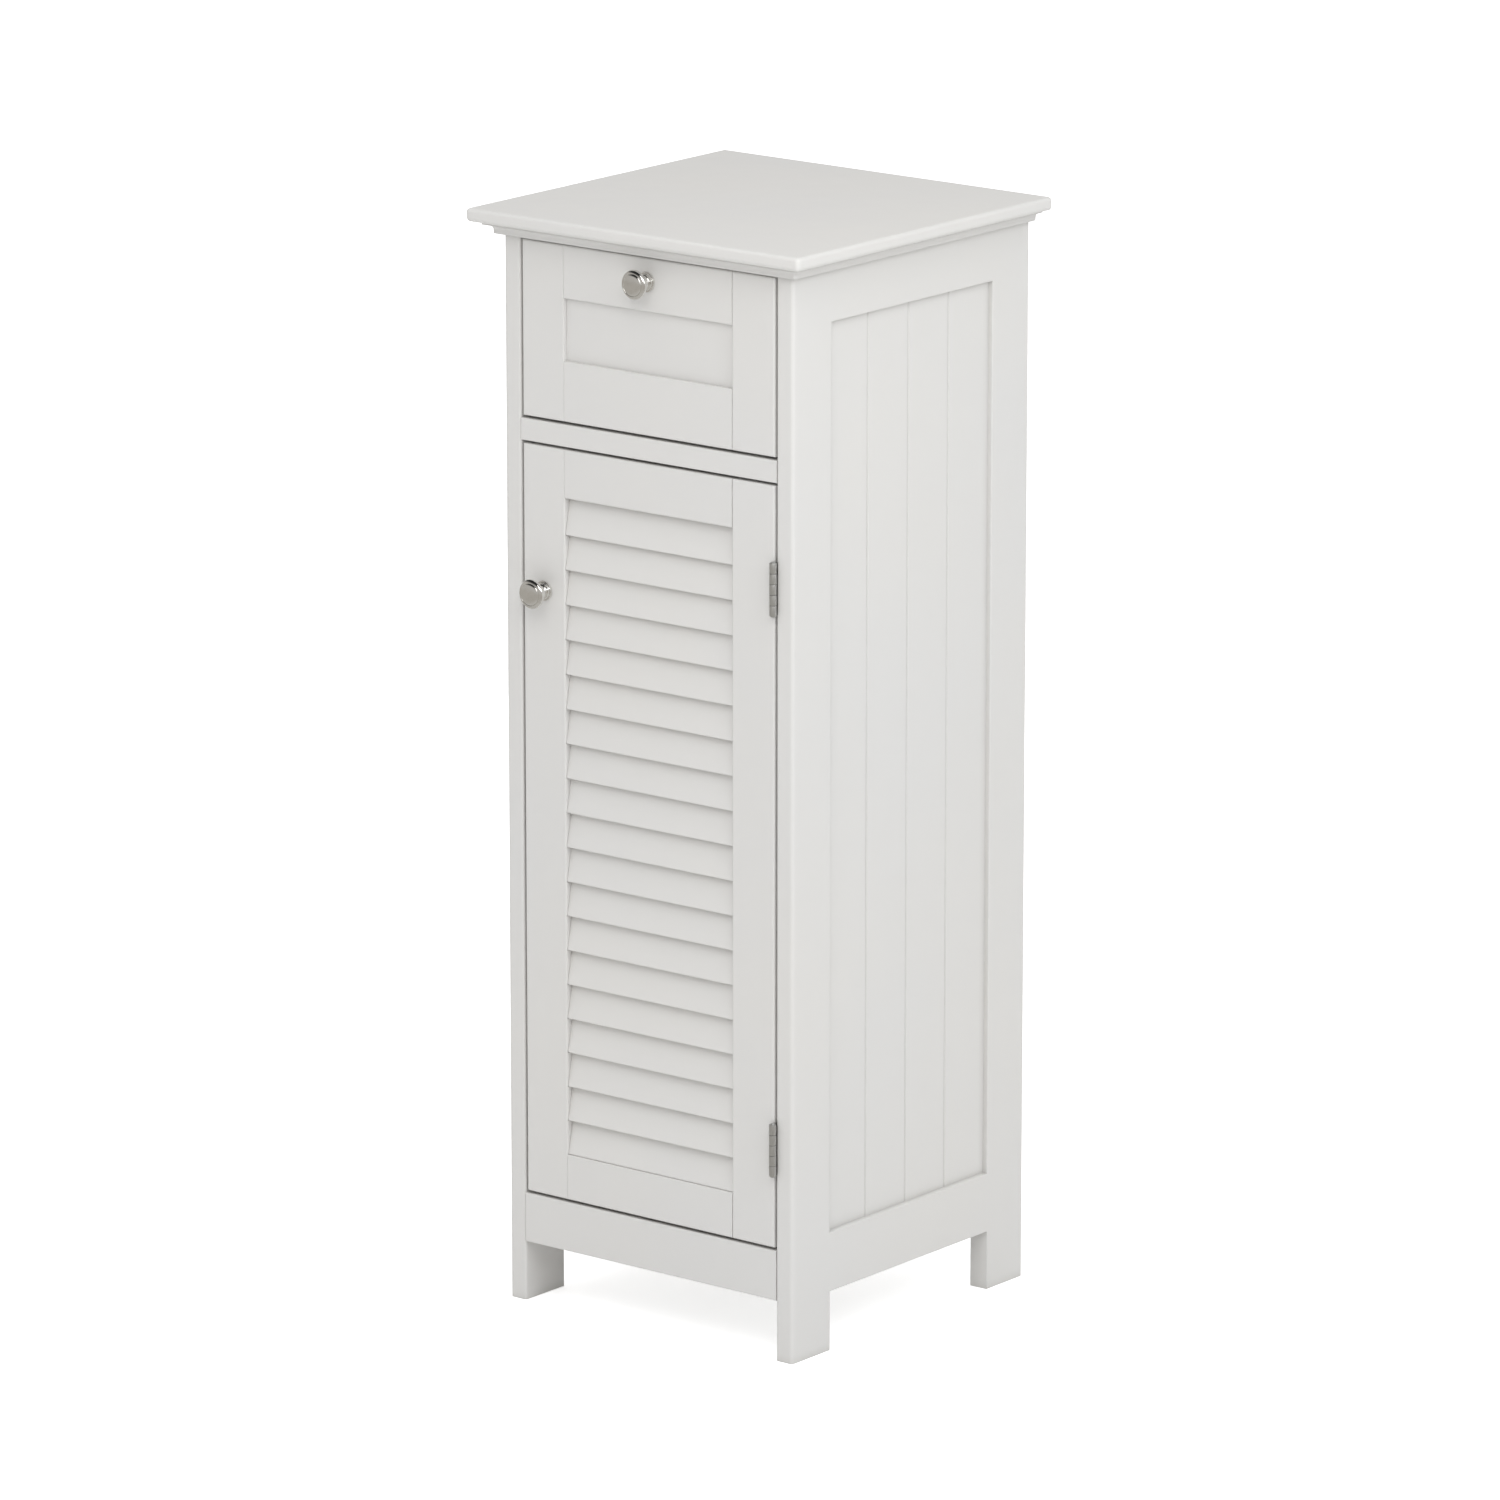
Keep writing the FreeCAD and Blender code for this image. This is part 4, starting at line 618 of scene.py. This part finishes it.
def makeZinc():
    material, tree, shader = newMaterial("castZinc")
    tone = useGroup(tree, toneDrift, firstTone=(*zincSet["brightTone"], 1),
                    secondTone=(*zincSet["dullTone"], 1), cloudScale=zincSet["toneScale"])
    coat = useGroup(tree, sprayedCoat, rippleScale=zincSet["rippleScale"], nibScale=zincSet["nibScale"],
                    roughness=zincSet["roughness"], roughnessDrift=zincSet["roughnessDrift"])
    corner = useGroup(tree, cornerShade, reach=zincSet["cornerReach"], strength=zincSet["cornerStrength"])
    # Painted shade in the corners and seams.
    colour = mixTones(tree, corner.outputs["Corner"], tone.outputs["Tone"], metalCornerShadeTone)
    tree.links.new(colour, shader.inputs["Base Color"])
    tree.links.new(coat.outputs["Roughness"], shader.inputs["Roughness"])
    shader.inputs["Metallic"].default_value = 1
    addBump(tree, shader, coat.outputs["Height"], zincSet["rippleStrength"], zincSet["ripple"])
    return material


def makeBeech():
    material, tree, shader = newMaterial("bareBeech")
    grain = useGroup(tree, drawnLines, lineScale=beechSet["grain"]).outputs["Lines"]
    flecks = useGroup(tree, drawnLines, lineScale=beechSet["flecks"]).outputs["Lines"]
    colour = mixTones(tree, grain, beechSet["darkTone"], beechSet["paleTone"])
    ray = spread(tree, flecks, *beechSet["fleckSpan"], 0, beechSet["fleckTint"])
    colour = mixTones(tree, ray, colour, beechSet["darkTone"])
    tree.links.new(colour, shader.inputs["Base Color"])
    addLineRoughness(tree, shader, grain, beechSet)
    addBump(tree, shader, grain, beechSet["grainStrength"], beechSet["grainDepth"])
    return material


finishes = {
    "white_paint": makePaint("satinWhitePaint", paintSet),
    "louvre_paint": makePaint("louvrePaint", louvrePaintSet),
    "stile_paint": makePaint("stilePaint", stilePaintSet),
    "drawer_paint": makePaint("drawerPaint", drawerPaintSet),
    "polished_chrome": makeChrome(),
    "nickel_steel": makeNickel(),
    "zinc_alloy": makeZinc(),
    "beech": makeBeech(),
    "white_plastic": makePaint("matPlastic", plasticSet),
}
drawerFronts = ("drawer_front_panel", "drawer_top_rail", "drawer_bottom_rail")


def finishOf(node):
    # The louvres get more painted shade in their corners, the stiles and the drawer's front less.
    if node.startswith("louvre"):
        return "louvre_paint"
    if node.endswith("_stile") or node in drawerFronts:
        return "stile_paint"
    return slotOf[node]


for name, node in nodes.items():
    node.data.materials.clear()
    node.data.materials.append(finishes[finishOf(name)])
print("finishes placed")

# Small pieces that get a finer shape than their solids. Lengths in their dictionaries are millimetres.

facing = {"+z": (0, 0, 0), "-z": (180, 0, 0), "-y": (90, 0, 0), "+y": (-90, 0, 0),
          "+x": (0, 90, 0), "-x": (0, -90, 0)}
inward = {1: "-x", -1: "+x"}  # the way in from the right side and from the left

shapeSet = {
    "smoothAngle": 38,   # degrees, the sharpest corner that is shaded smooth
    "easedAngle": 50,    # degrees, the flattest corner that is eased
    "easedSteps": 2,
    "flatAngle": 1,      # degrees, flatter seams in a copied solid are dissolved
    "weldGap": 0.001,    # nearer points in a copied solid are merged
    "crossTaper": 0.5,   # how wide a cross recess is at its floor, as a share of its mouth
}


def useOnly(piece):
    clearSelection()
    piece.select_set(True)
    bpy.context.view_layer.objects.active = piece


def applyPlace():
    bpy.ops.object.transform_apply(location=True, rotation=True, scale=True)


def placeShape(piece, place, way):
    # Turns the shape's Z axis to face one way and moves its origin to a place.
    useOnly(piece)
    piece.location = Vector(place) * millimetre
    piece.rotation_euler = [math.radians(angle) for angle in facing[way]]
    applyPlace()


def joinPieces(pieces):
    useOnly(pieces[0])
    for piece in pieces:
        piece.select_set(True)
    if len(pieces) > 1:
        bpy.ops.object.join()
    return bpy.context.object


def repeatShape(master, places):
    # Copies the shape to each place, each copy with its own mesh, and joins the copies.
    copies = []
    for place, way in places:
        useOnly(master)
        bpy.ops.object.duplicate(linked=False)
        copies.append(bpy.context.object)
        placeShape(copies[-1], place, way)
    bpy.data.objects.remove(master, do_unlink=True)
    return joinPieces(copies)


def selectFaces(piece, wanted):
    # Leaves the piece in edit mode with only the wanted faces selected.
    if piece.mode == "EDIT":
        bpy.ops.object.mode_set(mode="OBJECT")
    useOnly(piece)
    bpy.ops.object.mode_set(mode="EDIT")
    bpy.ops.mesh.select_mode(type="FACE")
    bpy.ops.mesh.select_all(action="DESELECT")
    bpy.ops.object.mode_set(mode="OBJECT")
    for face in piece.data.polygons:
        face.select = wanted(face)
    bpy.ops.object.mode_set(mode="EDIT")


def standsUpright(face):
    return abs(face.normal.z) < 0.5


def looksDown(face):
    return face.normal.z < -0.5


def looksForward(face):
    return face.normal.y < -0.99


def turnShape(profile, sides):
    # Turned about Z from its first end: (height, radius) pairs. The last ring closes to a point.
    clearSelection()
    height, radius = profile[0]
    bpy.ops.mesh.primitive_circle_add(vertices=sides, radius=radius * millimetre, fill_type="NGON",
                                      location=(0, 0, height * millimetre))
    piece = bpy.context.object
    applyPlace()
    bpy.ops.object.mode_set(mode="EDIT")
    bpy.ops.mesh.select_mode(type="FACE")
    bpy.ops.mesh.select_all(action="SELECT")
    for nextHeight, nextRadius in profile[1:]:
        rise = (nextHeight - height) * millimetre
        bpy.ops.mesh.extrude_region_move(TRANSFORM_OT_translate={"value": (0, 0, rise)})
        scale = nextRadius / radius
        bpy.ops.transform.resize(value=(scale, scale, 1), center_override=(0, 0, nextHeight * millimetre))
        height, radius = nextHeight, nextRadius
    bpy.ops.mesh.merge(type="CENTER")
    bpy.ops.mesh.select_all(action="SELECT")
    bpy.ops.mesh.normals_make_consistent(inside=False)
    bpy.ops.object.mode_set(mode="OBJECT")
    return piece


def addBlock(low, high):
    # A box between two corners.
    clearSelection()
    middle = (Vector(low) + Vector(high)) / 2 * millimetre
    bpy.ops.mesh.primitive_cube_add(size=1, location=middle)
    piece = bpy.context.object
    piece.scale = (Vector(high) - Vector(low)) * millimetre
    applyPlace()
    return piece


def makeCross(values):
    # A plus-shaped cutter with tapered arms, half of it above the face that it cuts.
    span, width, depth = (values[key] for key in ("crossSpan", "crossWidth", "crossDepth"))
    taper = shapeSet["crossTaper"]
    clearSelection()
    bpy.ops.mesh.primitive_cube_add(size=width * millimetre, location=(0, 0, 0))
    cross = bpy.context.object
    cross.scale = (1, 1, 2 * depth / width)
    applyPlace()
    selectFaces(cross, standsUpright)
    reach = (span - width) / 2 * millimetre
    bpy.ops.mesh.extrude_faces_move(TRANSFORM_OT_shrink_fatten={"value": reach})
    selectFaces(cross, looksDown)
    bpy.ops.transform.resize(value=(taper, taper, 1), center_override=(0, 0, -depth * millimetre))
    bpy.ops.object.mode_set(mode="OBJECT")
    return cross


def cutAway(piece, cutter):
    useOnly(piece)
    cut = piece.modifiers.new("cut", "BOOLEAN")
    cut.operation = "DIFFERENCE"
    cut.solver = "EXACT"
    cut.object = cutter
    bpy.ops.object.modifier_apply(modifier="cut")
    bpy.data.objects.remove(cutter, do_unlink=True)


def easeEdges(piece, width):
    useOnly(piece)
    ease = piece.modifiers.new("ease", "BEVEL")
    ease.width = width * millimetre
    ease.segments = shapeSet["easedSteps"]
    ease.limit_method = "ANGLE"
    ease.angle_limit = math.radians(shapeSet["easedAngle"])
    bpy.ops.object.modifier_apply(modifier="ease")


def copySolid(node):
    # A copy of a CAD solid as one joined surface, ready to be shaped.
    piece = bpy.data.objects.new(node + "Copy", nodes[node].data.copy())
    bpy.context.scene.collection.objects.link(piece)
    useOnly(piece)
    bpy.ops.mesh.customdata_custom_splitnormals_clear()
    bpy.ops.object.mode_set(mode="EDIT")
    bpy.ops.mesh.select_all(action="SELECT")
    bpy.ops.mesh.remove_doubles(threshold=shapeSet["weldGap"] * millimetre)
    bpy.ops.mesh.dissolve_limited(angle_limit=math.radians(shapeSet["flatAngle"]))
    bpy.ops.object.mode_set(mode="OBJECT")
    return piece


def finishPiece(piece, name, body, slot, replaced=()):
    useOnly(piece)
    bpy.ops.object.shade_smooth_by_angle(angle=math.radians(shapeSet["smoothAngle"]))
    piece.name = name
    piece.data.name = name
    piece.data.materials.clear()
    piece.data.materials.append(finishes[slot])
    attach(piece, body)
    if replaced:
        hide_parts(*replaced)


def easeSolid(node, width):
    # A CAD solid's own shape with its edges eased, named left_drawer_runner to leftDrawerRunner.
    piece = copySolid(node)
    easeEdges(piece, width)
    first, *others = node.split("_")
    name = first + "".join(word.capitalize() for word in others)
    finishPiece(piece, name, nodes[node]["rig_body"], slotOf[node], [node])


knobSet = {
    "sides": 96,
    # (distance out from the front, radius), from the screw's bore to the middle of the domed face
    "profile": [
        (8.5, 2.1), (0, 2.1),                                                                    # bore
        (0, 7.6), (0.15, 7.85), (0.5, 8.0), (1.1, 8.0), (1.5, 7.85), (1.7, 7.5),                 # flange
        (1.72, 6.75), (1.95, 6.62), (2.3, 6.6), (2.8, 6.6), (3.05, 6.5), (3.2, 6.2),             # ring
        (3.35, 5.6), (3.7, 5.0), (4.2, 4.55), (5.0, 4.3), (6.0, 4.25), (7.0, 4.3), (8.2, 4.5),   # neck
        (9.6, 5.1), (11.0, 6.15), (12.2, 7.5), (13.1, 9.0), (13.8, 10.4), (14.2, 11.2),          # flare
        (14.5, 11.5), (14.9, 11.6), (15.5, 11.6), (16.0, 11.5), (16.5, 11.28), (16.9, 10.95),    # rim
        (17.22, 10.5), (17.45, 10.05), (17.7, 9.5), (17.88, 9.1), (17.9, 8.95),                  # bead
        (17.72, 8.75), (17.7, 8.6),                                                              # groove
        (18.02, 8.4), (18.12, 8.25), (18.42, 7.7), (18.77, 6.8), (18.93, 6.2), (19.02, 5.8),     # dome
        (19.17, 4.9), (19.36, 3.4), (19.53, 1.7), (19.6, 0.5)],
    "drawerKnob": (0, -136, 829.5),
    "doorKnob": (-102.5, -136, 575),
}


def makeKnob(name, body, node):
    piece = turnShape(knobSet["profile"], knobSet["sides"])
    placeShape(piece, knobSet[name], "-y")
    finishPiece(piece, name, body, "polished_chrome", [node])


makeKnob("drawerKnob", "drawer", "drawer_knob")
makeKnob("doorKnob", "door", "door_knob")
print("knobs turned")

screwSet = {
    "sides": 32,
    "shortLength": 12,
    "longLength": 17,
    # (height, radius) above the point, and then below the face of the countersunk head
    "pointProfile": [(0, 0.1), (0.4, 0.3), (3, 1.35), (3.3, 1.4)],
    "headProfile": [(-0.9, 1.4), (-0.06, 2.46), (0, 2.5), (0, 0.2)],
    "crossSpan": 2.7,
    "crossWidth": 0.6,
    "crossDepth": 1.1,
    "leafHeights": (597.4, 621.4, 157.2, 181.2),
    "leafDepth": -127.5,
    "doorLeafFace": 123.9,
    "cabinetLeafFace": 124.1,
    "runnerFace": 116.5,
    "runnerDepths": (-95, 90),
    "runnerHeight": 769.8,
    "catchAcross": (-91.5, -113.5),
    "catchDepth": -111.7,
    "catchFace": 678.6,
}

boltSet = {
    "sides": 48,
    # (height, radius) of the knob's bolt, from its end in the knob to its pan head behind the front
    "profile": [(-24, 0.2), (-24, 1.7), (-23.7, 2.0), (0, 2.0), (0, 3.85), (0.15, 4.0), (1.1, 4.0),
                (1.6, 3.8), (1.95, 3.3), (2.15, 2.4), (2.2, 1.4), (2.2, 0.2)],
    "headHeight": 2.2,
    "headDepth": -120,  # where the head lies against the front's rear face
    "crossSpan": 4.0,
    "crossWidth": 0.9,
    "crossDepth": 1.3,
}

runnerScrews = [((side * screwSet["runnerFace"], depth, screwSet["runnerHeight"]), inward[side])
                for side in (1, -1) for depth in screwSet["runnerDepths"]]
catchScrews = [((across, screwSet["catchDepth"], screwSet["catchFace"]), "-z")
               for across in screwSet["catchAcross"]]


def leafScrews(face, way):
    return [((face, screwSet["leafDepth"], height), way) for height in screwSet["leafHeights"]]


def makeScrew(length):
    point = [(height - length, radius) for height, radius in screwSet["pointProfile"]]
    screw = turnShape(point + screwSet["headProfile"], screwSet["sides"])
    cutAway(screw, makeCross(screwSet))
    return screw


def makeScrews():
    short = repeatShape(makeScrew(screwSet["shortLength"]), leafScrews(screwSet["cabinetLeafFace"], "-x"))
    longer = repeatShape(makeScrew(screwSet["longLength"]), runnerScrews + catchScrews)
    finishPiece(joinPieces([short, longer]), "fixingScrews", "cabinet", "nickel_steel", ["wood_screws"])
    onDoor = repeatShape(makeScrew(screwSet["shortLength"]), leafScrews(screwSet["doorLeafFace"], "+x"))
    finishPiece(onDoor, "doorLeafScrews", "door", "nickel_steel", ["hinge_door_screws"])


def makeKnobBolt(name, body, node, knob):
    bolt = turnShape(boltSet["profile"], boltSet["sides"])
    cross = makeCross(boltSet)
    placeShape(cross, (0, 0, boltSet["headHeight"]), "+z")
    cutAway(bolt, cross)
    across, height = knobSet[knob][0], knobSet[knob][2]
    placeShape(bolt, (across, boltSet["headDepth"], height), "+y")
    finishPiece(bolt, name, body, "nickel_steel", [node])


makeScrews()
makeKnobBolt("drawerKnobBolt", "drawer", "drawer_knob_screw", "drawerKnob")
makeKnobBolt("doorKnobBolt", "door", "door_knob_screw", "doorKnob")
print("screws made")

camSet = {
    "edge": 0.15,
    "crossSpan": 6.0,
    "crossWidth": 1.3,
    "crossDepth": 2.2,
    # discs under the divider and the cupboard's floor, at the back of the apron, and high in the sides
    "across": 101,
    "depths": (-76, 93),
    "boardHeights": (690.6, 72),
    "apronDepth": -120,
    "apronHeight": 72,
    "sideAcross": 125,
    "sideHeight": 826,
}

camFaces = [((side * camSet["across"], depth, height), "-z") for side in (1, -1)
            for depth in camSet["depths"] for height in camSet["boardHeights"]]
camFaces += [((side * camSet["across"], camSet["apronDepth"], camSet["apronHeight"]), "+y")
             for side in (1, -1)]
camFaces += [((side * camSet["sideAcross"], depth, camSet["sideHeight"]), inward[side])
             for side in (1, -1) for depth in camSet["depths"]]


def makeCamDiscs():
    discs = copySolid("cam_discs")
    cutAway(discs, repeatShape(makeCross(camSet), camFaces))
    easeEdges(discs, camSet["edge"])
    finishPiece(discs, "camDiscs", "cabinet", "zinc_alloy", ["cam_discs"])


makeCamDiscs()
print("cam discs cut")

catchSet = {
    "low": (-119.5, -118.7, 678.6),
    "high": (-85.5, -104.7, 690.6),
    "edge": 0.7,
    "mouthInset": 2.4,
    "mouthDepth": 0.8,
    "plateHalfWidth": 11.0,
    "plateThickness": 1.2,
    "plateHeights": (682.4, 685.6),
    "plateDepth": 9.0,
    "plateEdge": 0.2,
    "holeSides": 32,
    # a countersunk hole through the housing, seen from the face it starts in
    "holeProfile": [(-13, 1.5), (-0.9, 1.5), (0, 2.6), (0.6, 2.6), (0.6, 0.2)],
}


def makeCatchHousing():
    housing = addBlock(catchSet["low"], catchSet["high"])
    easeEdges(housing, catchSet["edge"])
    selectFaces(housing, looksForward)
    bpy.ops.mesh.inset(thickness=catchSet["mouthInset"] * millimetre)
    inwards = (0, catchSet["mouthDepth"] * millimetre, 0)
    bpy.ops.mesh.extrude_region_move(TRANSFORM_OT_translate={"value": inwards})
    bpy.ops.object.mode_set(mode="OBJECT")
    cutAway(housing, repeatShape(turnShape(catchSet["holeProfile"], catchSet["holeSides"]), catchScrews))
    finishPiece(housing, "catchHousing", "cabinet", "white_plastic", ["magnetic_catch"])


def makePolePlates():
    middle = (catchSet["low"][0] + catchSet["high"][0]) / 2
    left, right = middle - catchSet["plateHalfWidth"], middle + catchSet["plateHalfWidth"]
    front = catchSet["low"][1]
    plates = []
    for height in catchSet["plateHeights"]:
        plate = addBlock((left, front, height),
                         (right, front + catchSet["plateDepth"], height + catchSet["plateThickness"]))
        easeEdges(plate, catchSet["plateEdge"])
        plates.append(plate)
    finishPiece(joinPieces(plates), "catchPolePlates", "cabinet", "nickel_steel")


makeCatchHousing()
makePolePlates()
print("catch made")

hingeSet = {
    "leafEdge": 0.22,
    "feet": (588.9, 148.7),
    "axis": (124, -139),
    "pinSides": 40,
    # (height, radius) of the pin above a barrel's foot, from its lower domed tip to the upper one
    "pinProfile": [(-1.2, 0.3), (-1.15, 0.9), (-0.95, 1.5), (-0.6, 2.0), (-0.25, 2.2), (0, 2.2), (0, 1.3),
                   (41, 1.3), (41, 2.2), (41.25, 2.2), (41.6, 2.0), (41.95, 1.5), (42.15, 0.9), (42.2, 0.3)],
}


def makeHinges():
    for node in ("upper_hinge_cabinet_leaf", "lower_hinge_cabinet_leaf",
                 "upper_hinge_door_leaf", "lower_hinge_door_leaf"):
        easeSolid(node, hingeSet["leafEdge"])
    pinPlaces = [((*hingeSet["axis"], foot), "+z") for foot in hingeSet["feet"]]
    pins = repeatShape(turnShape(hingeSet["pinProfile"], hingeSet["pinSides"]), pinPlaces)
    finishPiece(pins, "hingePins", nodes["hinge_pins"]["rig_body"], "nickel_steel", ["hinge_pins"])


makeHinges()
print("hinges finished")

fittingEdges = {"left_drawer_runner": 0.5, "right_drawer_runner": 0.5, "strike_plate": 0.2}
for fitting, edge in fittingEdges.items():
    easeSolid(fitting, edge)
print("runners and strike plate eased")
